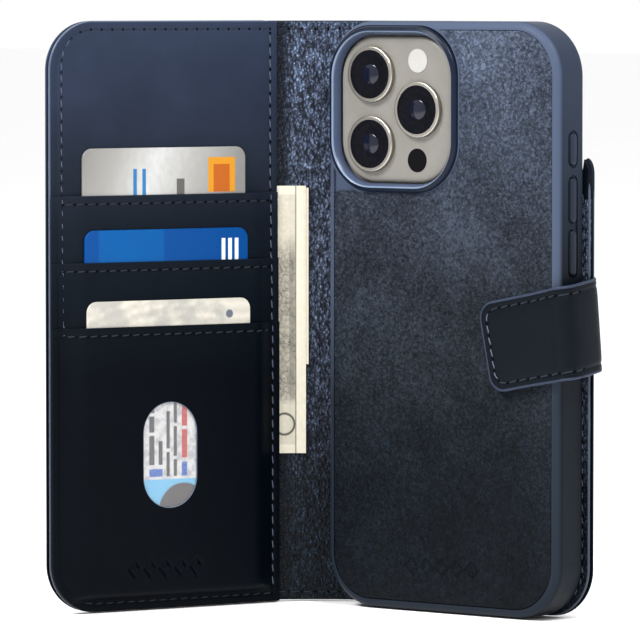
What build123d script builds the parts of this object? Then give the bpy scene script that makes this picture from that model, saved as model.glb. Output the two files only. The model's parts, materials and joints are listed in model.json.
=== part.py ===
from build123d import *
import math
import os

os.makedirs("parts", exist_ok=True)

# ---------------------------------------------------------------- overall
COVER_H = 169.0          # height of covers and tray
COVER_R = 14.0           # outer corners of the covers
BACK_W = 87.0            # back cover, crease to free edge
FRONT_W = 78.5           # front cover, crease to free edge
SPINE_W = 20.0           # between the two crease axes
BACK_FOLD = 38.5         # fold angles as the folio stands
FRONT_FOLD = 31.5
CREASE_X = -23.1         # back crease axis, so that the base centre is the origin
CREASE_Y = 43.2

# ---------------------------------------------------------------- layers
SKIN = 1.0               # outer leather
BOARD = 0.8              # stiffener
LINING = 0.8             # inner lining of back cover and spine
FRONT_LINING = 0.5
SKIN_SETBACK = 1.6       # leather ends this far from a crease axis
BOARD_SETBACK = 2.1
THREAD_W = 0.5
THREAD_PROUD = 0.15
THREAD_DEPTH = 0.3
STITCH_INSET = 2.2

# ---------------------------------------------------------------- pockets
NOTE_GAP = 0.45
PANEL = 0.4              # cash pocket panel
POCKET_SKIN = 0.45
POCKET_RIGHT = -3.0      # pocket side next to the spine
SLOT_DEPTH = 1.1
SLOT_W = 54.6
SLOT_X = -40.4
PAD_WALL = 1.2
PAD_FOOT = 2.9
POCKET_EDGES = (119.2, 100.1, 81.6)
CARD_W, CARD_H, CARD_T, CARD_R = 54.0, 85.6, 0.76, 3.18
CARD_TOPS = (132.7, 109.3, 89.0)
NOTE_W, NOTE_H, NOTE_T, NOTE_LOW = 70.0, 78.0, 0.25, 43.0
WINDOW_W, WINDOW_H = 20.0, 31.2
WINDOW_X, WINDOW_Z = -39.5, 44.0

# ---------------------------------------------------------------- tray
TRAY_X = 2.5             # left side, from the back crease
TRAY_W, TRAY_T, TRAY_R = 83.0, 12.3, 15.5
TRAY_Z = 2.0             # screen side of the tray above the cover's skin
SCREEN_LIP = 1.0
INLAY_INSET = 2.4
INLAY_T = 0.7
INLAY_RECESS = 0.8
PHONE_W, PHONE_H, PHONE_T, PHONE_R = 77.6, 163.0, 8.25, 12.8
PHONE_GAP = 0.1
GLASS_T = 0.7
PLATEAU_W, PLATEAU_H, PLATEAU_T, PLATEAU_R = 40.3, 42.0, 1.95, 12.0
PLATEAU_LEFT, PLATEAU_DOWN = 4.2, 4.3
RIM_RIGHT, RIM_LOW, RIM_MARGIN = 47.4, 48.8, 1.2
RIM_PROUD = 1.4
LENS_SPOTS = ((15.8, 15.3), (15.8, 35.3), (32.8, 25.3))
LENS_R, LENS_GLASS_R = 8.1, 7.0
FLASH_SPOT, SENSOR_SPOT, MIC_SPOT = (32.2, 11.3), (32.0, 39.8), (37.3, 36.1)
SPOT_R = 3.4
BUTTON_W = 2.8
BUTTON_PROUD = 0.4
BUTTON_PLAY = 0.3
KEY_DISH_MARGIN, KEY_DISH_DEPTH = 0.9, 0.4   # shallow recess round the keys
KEY_DISHES = ((128.6, 137.6), (97.4, 125.0))
MAGNET_RING_Z = 82.0
BAR_MAGNET_Z = 40.0

# ---------------------------------------------------------------- strap
STRAP_W = 26.0
STRAP_TILT = 11.0
STRAP_X = 88.8           # both strap fold axes
STRAP_T = 1.6
STRAP_MID_Z = 78.6       # centre line height at the flap's middle
STRAP_MID_X = 73.0
STRAP_LEFT, STRAP_RIGHT = 60.9, STRAP_X - 1.3
STRAP_MAGNET_X, STRAP_MAGNET_Z = 69.0, 77.8

# ---------------------------------------------------------------- inside the covers
PLATE_X, PLATE_Z, PLATE_W, PLATE_H = 44.0, 66.0, 52.0, 84.0
TAB_LEFT, TAB_RIGHT = 76.0, 87.3
MAGNET_SPOTS = ((-71.0, 60.0), (-71.0, 109.0))
MAGNET_R = 4.0

# ---------------------------------------------------------------- planes
fold = math.radians(BACK_FOLD)
turn = math.radians(BACK_FOLD + FRONT_FOLD)
front_x = CREASE_X - SPINE_W * math.cos(fold)
front_y = CREASE_Y - SPINE_W * math.sin(fold)
BACK = Plane(origin=(CREASE_X, CREASE_Y, 0), x_dir=(1, 0, 0), z_dir=(0, -1, 0))
SPINE = Plane(
    origin=(CREASE_X, CREASE_Y, 0),
    x_dir=(math.cos(fold), math.sin(fold), 0),
    z_dir=(math.sin(fold), -math.cos(fold), 0),
)
FRONT = Plane(
    origin=(front_x, front_y, 0),
    x_dir=(math.cos(turn), math.sin(turn), 0),
    z_dir=(math.sin(turn), -math.cos(turn), 0),
)

lining_top = BOARD + LINING
front_lining_top = BOARD + FRONT_LINING
panel_low = front_lining_top + NOTE_GAP
panel_top = panel_low + PANEL
tray_face = TRAY_Z + TRAY_T
phone_low = TRAY_Z + SCREEN_LIP
phone_top = phone_low + PHONE_T
cavity_top = phone_top + PHONE_GAP
tray_mid_x = TRAY_X + TRAY_W / 2
strap_low = tray_face + 0.4
strap_flap_axis = strap_low + 1.1
strap_root_axis = 0.4


def save(part, label):
    """Label a finished sub-part and write it."""
    part.label = label
    export_step(part, f"parts/{label}.step")


def block(x_low, x_high, low, high, mode=Mode.ADD):
    """Rectangle between two x and two height values."""
    with Locations(((x_low + x_high) / 2, (low + high) / 2)):
        Rectangle(x_high - x_low, high - low, mode=mode)


def back_leaf(margin, crease):
    """Back cover outline: rounded free side, camera notch in its upper corner."""
    block(crease, BACK_W - margin, margin, COVER_H - margin)
    fillet(vertices().sort_by(Axis.X)[-2:], COVER_R - margin)
    notch_left = TRAY_X + TRAY_W - RIM_RIGHT - 1 - margin
    notch_right = TRAY_X + TRAY_W - 0.5 - margin
    notch_low = COVER_H - RIM_LOW - 1 - margin
    with Locations(((notch_left + notch_right) / 2, notch_low + 40)):
        RectangleRounded(notch_right - notch_left, 80, COVER_R - 2, mode=Mode.SUBTRACT)
    block(notch_right - 1, BACK_W + 1, notch_low + 10.5, COVER_H + 1, mode=Mode.SUBTRACT)


def front_leaf(margin, crease):
    """Front cover outline: rounded free side on the left."""
    block(margin - FRONT_W, crease, margin, COVER_H - margin)
    fillet(vertices().sort_by(Axis.X)[:2], COVER_R - margin)


def spine_leaf(margin, setback):
    """Spine outline between the two crease axes."""
    block(setback - SPINE_W, -setback, margin, COVER_H - margin)


def tray_outline(inset):
    """Outline of the tray, seen from its camera side."""
    with Locations((tray_mid_x, COVER_H / 2)):
        RectangleRounded(TRAY_W - 2 * inset, COVER_H - 2 * inset, TRAY_R - inset)


def rim_outline(grow, mode=Mode.ADD):
    """Outer outline of the raised camera rim."""
    left = TRAY_X + RIM_MARGIN - grow
    right = TRAY_X + RIM_RIGHT + grow
    low = COVER_H - RIM_LOW - grow
    high = COVER_H - RIM_MARGIN + grow
    with Locations(((left + right) / 2, (low + high) / 2)):
        RectangleRounded(right - left, high - low, TRAY_R - RIM_MARGIN + grow, mode=mode)


def plateau_outline(grow):
    """Outline of the phone's camera plateau."""
    mid_x = TRAY_X + PLATEAU_LEFT + PLATEAU_W / 2
    mid_z = COVER_H - PLATEAU_DOWN - PLATEAU_H / 2
    with Locations((mid_x, mid_z)):
        RectangleRounded(PLATEAU_W + 2 * grow, PLATEAU_H + 2 * grow, PLATEAU_R + grow)


def phone_outline(inset):
    """Outline of the phone body."""
    with Locations((tray_mid_x, COVER_H / 2)):
        RectangleRounded(PHONE_W - 2 * inset, PHONE_H - 2 * inset, PHONE_R - inset)


def pad_outline(index, top):
    """Raised part of one card pocket, rounded at its foot."""
    block(SLOT_X - pad_halves[index], SLOT_X + pad_halves[index], PAD_FOOT, top)
    fillet(vertices().sort_by(Axis.Y)[:2], 4.0 + PAD_WALL * index)


def ring(draw, inset, crease):
    """Thread line: a narrow band that follows a leaf's edge."""
    draw(inset, crease)
    offset(amount=-THREAD_W, mode=Mode.SUBTRACT)


# ================================================================ back cover
with BuildPart() as back_skin:
    with BuildSketch(BACK.offset(-SKIN)):
        back_leaf(0, SKIN_SETBACK)
    extrude(amount=SKIN)
    with BuildSketch(BACK.offset(-SKIN)):
        ring(back_leaf, STITCH_INSET, SKIN_SETBACK + STITCH_INSET)
    extrude(amount=THREAD_DEPTH, mode=Mode.SUBTRACT)
save(back_skin.part, "back_outer_leather")

with BuildPart() as back_skin_thread:
    with BuildSketch(BACK.offset(-SKIN)):
        ring(back_leaf, STITCH_INSET, SKIN_SETBACK + STITCH_INSET)
    extrude(amount=THREAD_DEPTH)
save(back_skin_thread.part, "back_outer_thread")

TAB_Z = STRAP_MID_Z + (STRAP_X - STRAP_MID_X) * math.tan(math.radians(STRAP_TILT)) + 2.0

with BuildPart() as back_board:
    with BuildSketch(BACK):
        back_leaf(0.8, BOARD_SETBACK)
        with Locations((PLATE_X, PLATE_Z)):
            Rectangle(PLATE_W + 0.4, PLATE_H + 0.4, mode=Mode.SUBTRACT)
        tab_half = STRAP_W / 2 + 0.2
        block(TAB_LEFT - 0.2, BACK_W + 1, TAB_Z - tab_half, TAB_Z + tab_half, mode=Mode.SUBTRACT)
    extrude(amount=BOARD)
save(back_board.part, "back_board")

with BuildPart() as steel_plate:
    with BuildSketch(BACK):
        with Locations((PLATE_X, PLATE_Z)):
            RectangleRounded(PLATE_W, PLATE_H, 3)
    extrude(amount=BOARD)
save(steel_plate.part, "back_steel_plate")

with BuildPart() as root_tab:
    with BuildSketch(BACK):
        block(TAB_LEFT, TAB_RIGHT, TAB_Z - STRAP_W / 2, TAB_Z + STRAP_W / 2)
    extrude(amount=BOARD)
save(root_tab.part, "strap_root_tab")

with BuildPart() as back_lining:
    with BuildSketch(BACK.offset(BOARD)):
        back_leaf(0.3, BOARD_SETBACK)
    extrude(amount=LINING)
save(back_lining.part, "back_lining")

with BuildPart() as back_thread:
    with BuildSketch(BACK.offset(lining_top)):
        ring(back_leaf, STITCH_INSET, BOARD_SETBACK + STITCH_INSET)
    extrude(amount=THREAD_PROUD)
save(back_thread.part, "back_lining_thread")

# ================================================================ spine
with BuildPart() as spine_skin:
    with BuildSketch(SPINE.offset(-SKIN)):
        spine_leaf(0, SKIN_SETBACK)
    extrude(amount=SKIN)
save(spine_skin.part, "spine_outer_leather")

with BuildPart() as spine_board:
    with BuildSketch(SPINE):
        spine_leaf(0.8, BOARD_SETBACK)
    extrude(amount=BOARD)
save(spine_board.part, "spine_board")

with BuildPart() as spine_lining:
    with BuildSketch(SPINE.offset(BOARD)):
        spine_leaf(0.3, BOARD_SETBACK)
    extrude(amount=LINING)
save(spine_lining.part, "spine_lining")

with BuildPart() as spine_thread:
    with BuildSketch(SPINE.offset(lining_top)):
        for height in (STITCH_INSET, COVER_H - STITCH_INSET - THREAD_W):
            block(BOARD_SETBACK - SPINE_W, -BOARD_SETBACK, height, height + THREAD_W)
    extrude(amount=THREAD_PROUD)
save(spine_thread.part, "spine_thread")

# ================================================================ front cover
with BuildPart() as front_skin:
    with BuildSketch(FRONT.offset(-SKIN)):
        front_leaf(0, -SKIN_SETBACK)
    extrude(amount=SKIN)
    with BuildSketch(FRONT.offset(-SKIN)):
        ring(front_leaf, STITCH_INSET, -SKIN_SETBACK - STITCH_INSET)
    extrude(amount=THREAD_DEPTH, mode=Mode.SUBTRACT)
save(front_skin.part, "front_outer_leather")

with BuildPart() as front_skin_thread:
    with BuildSketch(FRONT.offset(-SKIN)):
        ring(front_leaf, STITCH_INSET, -SKIN_SETBACK - STITCH_INSET)
    extrude(amount=THREAD_DEPTH)
save(front_skin_thread.part, "front_outer_thread")


with BuildPart() as front_board:
    with BuildSketch(FRONT):
        front_leaf(0.8, -BOARD_SETBACK)
        with Locations(*MAGNET_SPOTS):
            Circle(MAGNET_R + 0.2, mode=Mode.SUBTRACT)
    extrude(amount=BOARD)
save(front_board.part, "front_board")

with BuildPart() as front_magnets:
    with BuildSketch(FRONT):
        with Locations(*MAGNET_SPOTS):
            Circle(MAGNET_R)
    extrude(amount=BOARD)
save(front_magnets.part, "front_closure_magnets")

with BuildPart() as front_lining:
    with BuildSketch(FRONT.offset(BOARD)):
        front_leaf(0.3, -BOARD_SETBACK)
    extrude(amount=FRONT_LINING)
save(front_lining.part, "front_lining")

with BuildPart() as cash_edge:
    with BuildSketch(FRONT.offset(front_lining_top)):
        front_leaf(0.2, POCKET_RIGHT)
        block(3.4 - FRONT_W, 0, 3.4, COVER_H - 3.4, mode=Mode.SUBTRACT)
    extrude(amount=NOTE_GAP)
save(cash_edge.part, "cash_pocket_edge_strip")

with BuildPart() as cash_panel:
    with BuildSketch(FRONT.offset(panel_low)):
        front_leaf(0.1, POCKET_RIGHT)
    extrude(amount=PANEL)
save(cash_panel.part, "cash_pocket_panel")

with BuildPart() as note:
    with BuildSketch(FRONT.offset(front_lining_top + 0.1)):
        block(-1.7 - NOTE_W, -1.7, NOTE_LOW, NOTE_LOW + NOTE_H)
    extrude(amount=NOTE_T)
save(note.part, "banknote")

# The pockets lie over one another, each with a raised pad that holds one card.
POCKET_NAMES = ("upper", "middle", "lower")
slot_lows = [panel_top + i * (SLOT_DEPTH + POCKET_SKIN) for i in range(3)]
pad_tops = [low + SLOT_DEPTH + POCKET_SKIN for low in slot_lows]
pad_halves = [SLOT_W / 2 + PAD_WALL * (i + 1) for i in range(3)]

for i, name in enumerate(POCKET_NAMES):
    sheet_low = panel_top + i * POCKET_SKIN
    with BuildPart() as pocket:
        with BuildSketch(FRONT.offset(sheet_low)):
            front_leaf(0, POCKET_RIGHT)
            block(-FRONT_W, 0, POCKET_EDGES[i], COVER_H, mode=Mode.SUBTRACT)
        extrude(amount=POCKET_SKIN)
        with BuildSketch(FRONT.offset(sheet_low)):
            pad_outline(i, POCKET_EDGES[i])
        extrude(amount=pad_tops[i] - sheet_low)
        if i:
            with BuildSketch(FRONT.offset(sheet_low)):
                pad_outline(i - 1, COVER_H)
            extrude(amount=pad_tops[i - 1] - sheet_low, mode=Mode.SUBTRACT)
        with BuildSketch(FRONT.offset(slot_lows[i])):
            block(SLOT_X - SLOT_W / 2, SLOT_X + SLOT_W / 2, PAD_FOOT + 0.2, COVER_H)
            fillet(vertices().sort_by(Axis.Y)[:2], CARD_R)
        extrude(amount=SLOT_DEPTH, mode=Mode.SUBTRACT)
        if name == "lower":
            with BuildSketch(FRONT.offset(slot_lows[i] + SLOT_DEPTH)):
                with Locations((WINDOW_X, WINDOW_Z)):
                    SlotOverall(WINDOW_H, WINDOW_W, rotation=90)
            extrude(amount=POCKET_SKIN, mode=Mode.SUBTRACT)
    save(pocket.part, f"card_pocket_{name}")

    with BuildPart() as pocket_thread:
        row = POCKET_EDGES[i] - 2.4
        inner = pad_halves[i]
        left_end = 0.9 + STITCH_INSET - FRONT_W
        right_end = POCKET_RIGHT - STITCH_INSET - 0.9
        with BuildSketch(FRONT.offset(sheet_low + POCKET_SKIN)):
            block(left_end, SLOT_X - inner, row, row + THREAD_W)
            block(SLOT_X + inner, right_end, row, row + THREAD_W)
        extrude(amount=THREAD_PROUD)
        with BuildSketch(FRONT.offset(pad_tops[i])):
            block(SLOT_X - inner, SLOT_X + inner, row, row + THREAD_W)
        extrude(amount=THREAD_PROUD)
    save(pocket_thread.part, f"card_pocket_{name}_thread")

    with BuildPart() as card:
        with BuildSketch(FRONT.offset(slot_lows[i] + 0.22)):
            with Locations((SLOT_X, CARD_TOPS[i] - CARD_H / 2)):
                RectangleRounded(CARD_W, CARD_H, CARD_R)
        extrude(amount=CARD_T)
    save(card.part, ("card_silver", "card_blue", "card_identity")[i])

# Perimeter thread runs over the pocket edges, one level at a time.
levels = [panel_top + i * POCKET_SKIN for i in range(4)]
spans = (
    (POCKET_EDGES[0], COVER_H),
    (POCKET_EDGES[1], POCKET_EDGES[0]),
    (POCKET_EDGES[2], POCKET_EDGES[1]),
    (0, POCKET_EDGES[2]),
)
with BuildPart() as front_thread:
    for level, span in zip(levels, spans):
        with BuildSketch(FRONT.offset(level)):
            ring(front_leaf, STITCH_INSET, POCKET_RIGHT - STITCH_INSET)
            block(-FRONT_W, 0, span[0], span[1], mode=Mode.INTERSECT)
        extrude(amount=THREAD_PROUD)
save(front_thread.part, "front_perimeter_thread")

window_low = slot_lows[2] + SLOT_DEPTH
with BuildPart() as window_film:
    with BuildSketch(FRONT.offset(window_low + 0.1)):
        with Locations((WINDOW_X, WINDOW_Z)):
            SlotOverall(WINDOW_H - 0.2, WINDOW_W - 0.2, rotation=90)
    extrude(amount=0.2)
save(window_film.part, "id_window_film")

with BuildPart() as window_rim:
    with BuildSketch(FRONT.offset(pad_tops[2])):
        with Locations((WINDOW_X, WINDOW_Z)):
            SlotOverall(WINDOW_H + 1.6, WINDOW_W + 1.6, rotation=90)
            SlotOverall(WINDOW_H, WINDOW_W, rotation=90, mode=Mode.SUBTRACT)
    extrude(amount=0.2)
save(window_rim.part, "id_window_rim")

# ================================================================ closure strap
RUN_LOW = strap_root_axis + 1.2
RUN_HIGH = strap_flap_axis - 1.2
side_x = CREASE_X + STRAP_X - STRAP_T / 2
STRAP_SIDE = Plane(origin=(side_x, CREASE_Y, 0), x_dir=(0, 1, 0), z_dir=(1, 0, 0))
rise = math.tan(math.radians(STRAP_TILT))
strap_half = STRAP_W / 2 / math.cos(math.radians(STRAP_TILT))
fold_mid_z = STRAP_MID_Z + (STRAP_X - STRAP_MID_X) * rise


def flap_outline(inset):
    """Front of the strap: tilted band, rounded left end, upright fold side."""
    left = STRAP_LEFT + inset
    half = strap_half - inset
    Polygon(
        (left + 2.4 - half * rise, STRAP_MID_Z + (left - STRAP_MID_X) * rise + half),
        (left + 2.4 + half * rise, STRAP_MID_Z + (left - STRAP_MID_X) * rise - half),
        (STRAP_RIGHT, STRAP_MID_Z + (STRAP_RIGHT - STRAP_MID_X) * rise - half),
        (STRAP_RIGHT, STRAP_MID_Z + (STRAP_RIGHT - STRAP_MID_X) * rise + half),
        align=None,
    )
    fillet(vertices().sort_by(Axis.X)[:2], 5.5 - inset)


with BuildPart() as strap_run:
    with BuildSketch(STRAP_SIDE):
        Polygon(
            (-RUN_LOW, fold_mid_z + 2.0 - strap_half),
            (-RUN_HIGH, fold_mid_z - strap_half),
            (-RUN_HIGH, fold_mid_z + strap_half),
            (-RUN_LOW, fold_mid_z + 2.0 + strap_half),
            align=None,
        )
    extrude(amount=STRAP_T)
save(strap_run.part, "strap_side_band")

with BuildPart() as strap_lining:
    with BuildSketch(BACK.offset(strap_low)):
        flap_outline(0.4)
        with Locations((STRAP_MAGNET_X, STRAP_MAGNET_Z)):
            Circle(5.2, mode=Mode.SUBTRACT)
    extrude(amount=0.8)
save(strap_lining.part, "strap_flap_lining")

with BuildPart() as strap_magnet:
    with BuildSketch(BACK.offset(strap_low)):
        with Locations((STRAP_MAGNET_X, STRAP_MAGNET_Z)):
            Circle(5.0)
    extrude(amount=0.8)
save(strap_magnet.part, "strap_magnet")

with BuildPart() as strap_skin:
    with BuildSketch(BACK.offset(strap_low + 0.8)):
        flap_outline(0)
    extrude(amount=1.4)
    fillet(faces().sort_by(Axis.Y)[0].edges(), 0.5)
save(strap_skin.part, "strap_flap_leather")

with BuildPart() as strap_thread:
    with BuildSketch(BACK.offset(strap_low + 2.2)):
        flap_outline(STITCH_INSET)
        offset(amount=-THREAD_W, mode=Mode.SUBTRACT)
        block(STRAP_RIGHT - STITCH_INSET - THREAD_W - 0.1, STRAP_X, 0, COVER_H, mode=Mode.SUBTRACT)
    extrude(amount=THREAD_PROUD)
save(strap_thread.part, "strap_thread")

# ================================================================ tray
SIDE_MID = TRAY_Z + 5.6          # depth of buttons and ports in the tray
RIGHT_KEYS = (
    ("action_button", 128.6, 137.6),
    ("volume_up_button", 112.5, 125.0),
    ("volume_down_button", 97.4, 110.2),
)
LEFT_KEYS = (("side_button", 104.0, 121.0),)
right_side = CREASE_X + TRAY_X + TRAY_W
left_side = CREASE_X + TRAY_X
wall = (TRAY_W - PHONE_W) / 2
RIGHT_WALL = Plane(origin=(right_side, CREASE_Y - SIDE_MID, 0), x_dir=(0, 1, 0), z_dir=(1, 0, 0))
LEFT_WALL = Plane(origin=(left_side, CREASE_Y - SIDE_MID, 0), x_dir=(0, -1, 0), z_dir=(-1, 0, 0))
BASE = Plane(origin=(CREASE_X + tray_mid_x, CREASE_Y - SIDE_MID, 0), x_dir=(1, 0, 0), z_dir=(0, 0, -1))


def key_outline(low, high, play):
    """Pill outline of a side key, upright."""
    with Locations((0, (low + high) / 2)):
        SlotOverall(high - low + 2 * play, BUTTON_W + 2 * play, rotation=90)


with BuildPart() as bumper:
    with BuildSketch(BACK.offset(TRAY_Z)):
        tray_outline(0)
    extrude(amount=TRAY_T)
    fillet(faces().sort_by(Axis.Y)[0].edges(), 2.4)
    fillet(faces().sort_by(Axis.Y)[-1].edges(), 1.6)
    with BuildSketch(BACK.offset(phone_low)):
        phone_outline(-PHONE_GAP)
    extrude(amount=cavity_top - phone_low, mode=Mode.SUBTRACT)
    with BuildSketch(BACK.offset(TRAY_Z)):
        phone_outline(1.2)
    extrude(amount=SCREEN_LIP, mode=Mode.SUBTRACT)
    with BuildSketch(BACK.offset(tray_face - INLAY_RECESS)):
        tray_outline(INLAY_INSET)
        rim_outline(0.9, mode=Mode.SUBTRACT)
    extrude(amount=INLAY_RECESS, mode=Mode.SUBTRACT)
    with BuildSketch(BACK.offset(cavity_top)):
        plateau_outline(1.0)
    extrude(amount=4, mode=Mode.SUBTRACT)
    with BuildSketch(BACK.offset(tray_face - 1.0)):
        rim_outline(0)
    extrude(amount=1.0, mode=Mode.SUBTRACT)
    with BuildSketch(BACK.offset(cavity_top)):
        with Locations((tray_mid_x, MAGNET_RING_Z)):
            Circle(27.2)
            Circle(22.8, mode=Mode.SUBTRACT)
        with Locations((tray_mid_x, BAR_MAGNET_Z)):
            RectangleRounded(5.4, 20.4, 1.2)
    extrude(amount=0.9, mode=Mode.SUBTRACT)
    for low, high in KEY_DISHES:
        with BuildSketch(RIGHT_WALL.offset(1)):
            key_outline(low, high, KEY_DISH_MARGIN)
        extrude(amount=-1 - KEY_DISH_DEPTH, mode=Mode.SUBTRACT)
    for key, low, high in RIGHT_KEYS:
        with BuildSketch(RIGHT_WALL.offset(1)):
            key_outline(low, high, BUTTON_PLAY)
        extrude(amount=-wall - 1.5, mode=Mode.SUBTRACT)
    for key, low, high in LEFT_KEYS:
        with BuildSketch(LEFT_WALL.offset(1)):
            key_outline(low, high, BUTTON_PLAY)
        extrude(amount=-wall - 1.5, mode=Mode.SUBTRACT)
    with BuildSketch(BASE.offset(1)):
        SlotOverall(13.0, 6.0)
        for side in (-1, 1):
            with Locations((side * 16.0, 0)):
                SlotOverall(14.0, 3.0)
    extrude(amount=-5, mode=Mode.SUBTRACT)
save(bumper.part, "bumper_frame")

with BuildPart() as inlay:
    with BuildSketch(BACK.offset(tray_face - INLAY_RECESS)):
        tray_outline(INLAY_INSET + 0.1)
        rim_outline(1.0, mode=Mode.SUBTRACT)
    extrude(amount=INLAY_T)
    with BuildSketch(BACK.offset(tray_face - INLAY_RECESS + INLAY_T)):
        with Locations((tray_mid_x, 14.0)):
            Circle(3.2)
            Circle(2.6, mode=Mode.SUBTRACT)
            Circle(1.0)
    extrude(amount=-0.2, mode=Mode.SUBTRACT)
save(inlay.part, "leather_inlay")

with BuildPart() as rim:
    with BuildSketch(BACK.offset(tray_face - 1.0)):
        rim_outline(-0.05)
    extrude(amount=1.0 + RIM_PROUD)
    fillet(faces().sort_by(Axis.Y)[0].edges(), 0.8)
    with BuildSketch(BACK.offset(cavity_top)):
        plateau_outline(0.35)
    extrude(amount=TRAY_T, mode=Mode.SUBTRACT)
save(rim.part, "camera_rim")

with BuildPart() as tray_ring:
    with BuildSketch(BACK.offset(cavity_top)):
        with Locations((tray_mid_x, MAGNET_RING_Z)):
            Circle(27.0)
            Circle(23.0, mode=Mode.SUBTRACT)
    extrude(amount=0.8)
save(tray_ring.part, "tray_magnet_ring")

with BuildPart() as tray_bar:
    with BuildSketch(BACK.offset(cavity_top)):
        with Locations((tray_mid_x, BAR_MAGNET_Z)):
            RectangleRounded(5.0, 20.0, 1.0)
    extrude(amount=0.8)
save(tray_bar.part, "tray_alignment_magnet")

for plane, keys in ((RIGHT_WALL, RIGHT_KEYS), (LEFT_WALL, LEFT_KEYS)):
    for key, low, high in keys:
        with BuildPart() as button:
            with BuildSketch(plane.offset(0.5 - wall)):
                key_outline(low, high, 0)
            extrude(amount=wall - 0.5 + BUTTON_PROUD)
        save(button.part, key)

# ================================================================ phone
with BuildPart() as phone_frame:
    with BuildSketch(BACK.offset(phone_low)):
        phone_outline(0)
    extrude(amount=PHONE_T)
    for depth in (phone_low, phone_top - GLASS_T):
        with BuildSketch(BACK.offset(depth)):
            phone_outline(1.0)
        extrude(amount=GLASS_T, mode=Mode.SUBTRACT)
    with BuildSketch(BASE.offset(-3)):
        SlotOverall(9.0, 3.2)
    extrude(amount=-6, mode=Mode.SUBTRACT)
save(phone_frame.part, "phone_frame")

with BuildPart() as display:
    with BuildSketch(BACK.offset(phone_low)):
        phone_outline(1.0)
    extrude(amount=GLASS_T)
save(display.part, "phone_display")

with BuildPart() as back_glass:
    with BuildSketch(BACK.offset(phone_top - GLASS_T)):
        phone_outline(1.0)
    extrude(amount=GLASS_T)
save(back_glass.part, "phone_back_glass")


def spot(across, down):
    """Place on the tray face, from its upper left corner."""
    return (TRAY_X + across, COVER_H - down)


plateau_top = phone_top + PLATEAU_T
with BuildPart() as plateau:
    with BuildSketch(BACK.offset(phone_top)):
        plateau_outline(0)
    extrude(amount=PLATEAU_T)
    fillet(faces().sort_by(Axis.Y)[0].edges(), 0.9)
    with BuildSketch(BACK.offset(plateau_top - 0.6)):
        with Locations(spot(*FLASH_SPOT), spot(*SENSOR_SPOT)):
            Circle(SPOT_R + 0.05)
        with Locations(spot(*MIC_SPOT)):
            Circle(0.6)
    extrude(amount=0.6, mode=Mode.SUBTRACT)
save(plateau.part, "phone_camera_plateau")

for number, place in enumerate(LENS_SPOTS, start=1):
    with BuildPart() as lens_ring:
        with BuildSketch(BACK.offset(plateau_top)):
            with Locations(spot(*place)):
                Circle(LENS_R)
        extrude(amount=1.5)
        fillet(faces().sort_by(Axis.Y)[0].edges(), 0.4)
        with BuildSketch(BACK.offset(plateau_top + 0.5)):
            with Locations(spot(*place)):
                Circle(LENS_GLASS_R)
        extrude(amount=1.0, mode=Mode.SUBTRACT)
    save(lens_ring.part, f"lens_ring_{number}")

    with BuildPart() as lens_glass:
        with BuildSketch(BACK.offset(plateau_top + 0.5)):
            with Locations(spot(*place)):
                Circle(LENS_GLASS_R - 0.02)
        extrude(amount=0.8)
    save(lens_glass.part, f"lens_glass_{number}")

with BuildPart() as flash:
    with BuildSketch(BACK.offset(plateau_top - 0.6)):
        with Locations(spot(*FLASH_SPOT)):
            Circle(SPOT_R)
    extrude(amount=0.75)
save(flash.part, "phone_flash")

with BuildPart() as depth_sensor:
    with BuildSketch(BACK.offset(plateau_top - 0.6)):
        with Locations(spot(*SENSOR_SPOT)):
            Circle(SPOT_R)
    extrude(amount=0.65)
save(depth_sensor.part, "phone_depth_sensor")
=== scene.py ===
"""Phone wallet case: leather, cards, banknote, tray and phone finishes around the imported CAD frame."""

import json
import math

import bmesh
import bpy
import numpy as np
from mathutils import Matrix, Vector


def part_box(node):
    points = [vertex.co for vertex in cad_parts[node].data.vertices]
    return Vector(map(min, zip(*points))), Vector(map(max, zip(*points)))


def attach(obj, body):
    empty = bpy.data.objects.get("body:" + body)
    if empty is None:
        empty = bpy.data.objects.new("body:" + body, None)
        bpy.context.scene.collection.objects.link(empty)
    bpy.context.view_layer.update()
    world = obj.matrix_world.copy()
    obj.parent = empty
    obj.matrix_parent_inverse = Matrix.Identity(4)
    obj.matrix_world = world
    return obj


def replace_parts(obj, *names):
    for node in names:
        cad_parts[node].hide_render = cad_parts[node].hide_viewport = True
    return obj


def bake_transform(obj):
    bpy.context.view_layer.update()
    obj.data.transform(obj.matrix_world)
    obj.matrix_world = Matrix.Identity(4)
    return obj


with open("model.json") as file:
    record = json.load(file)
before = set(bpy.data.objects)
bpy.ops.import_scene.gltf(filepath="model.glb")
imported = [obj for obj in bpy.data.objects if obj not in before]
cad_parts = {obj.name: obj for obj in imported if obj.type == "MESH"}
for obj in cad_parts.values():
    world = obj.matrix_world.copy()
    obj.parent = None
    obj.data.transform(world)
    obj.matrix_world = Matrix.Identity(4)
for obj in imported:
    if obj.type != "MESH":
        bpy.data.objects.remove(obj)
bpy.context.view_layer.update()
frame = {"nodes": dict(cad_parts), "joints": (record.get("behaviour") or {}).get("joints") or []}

MM = 0.001

# ------------------------------------------------------------------ sizes in millimetres, as in the CAD
COVER_H = 169.0
COVER_R = 14.0
BACK_W = 87.0
FRONT_W = 78.5
BACK_FOLD = 38.5
FRONT_FOLD = 31.5
STITCH_INSET = 2.4
LEFT_INSET = 3.8          # the left row stands clear of the rolled edge
STITCH_PITCH = 3.5
STITCH_LENGTH = 2.75
CREASE_REACH = 5.0       # the smooth bend of the leather starts this far from a crease axis
FAR = 99.0               # beyond every edge: where a sheet carries on in another piece

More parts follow.
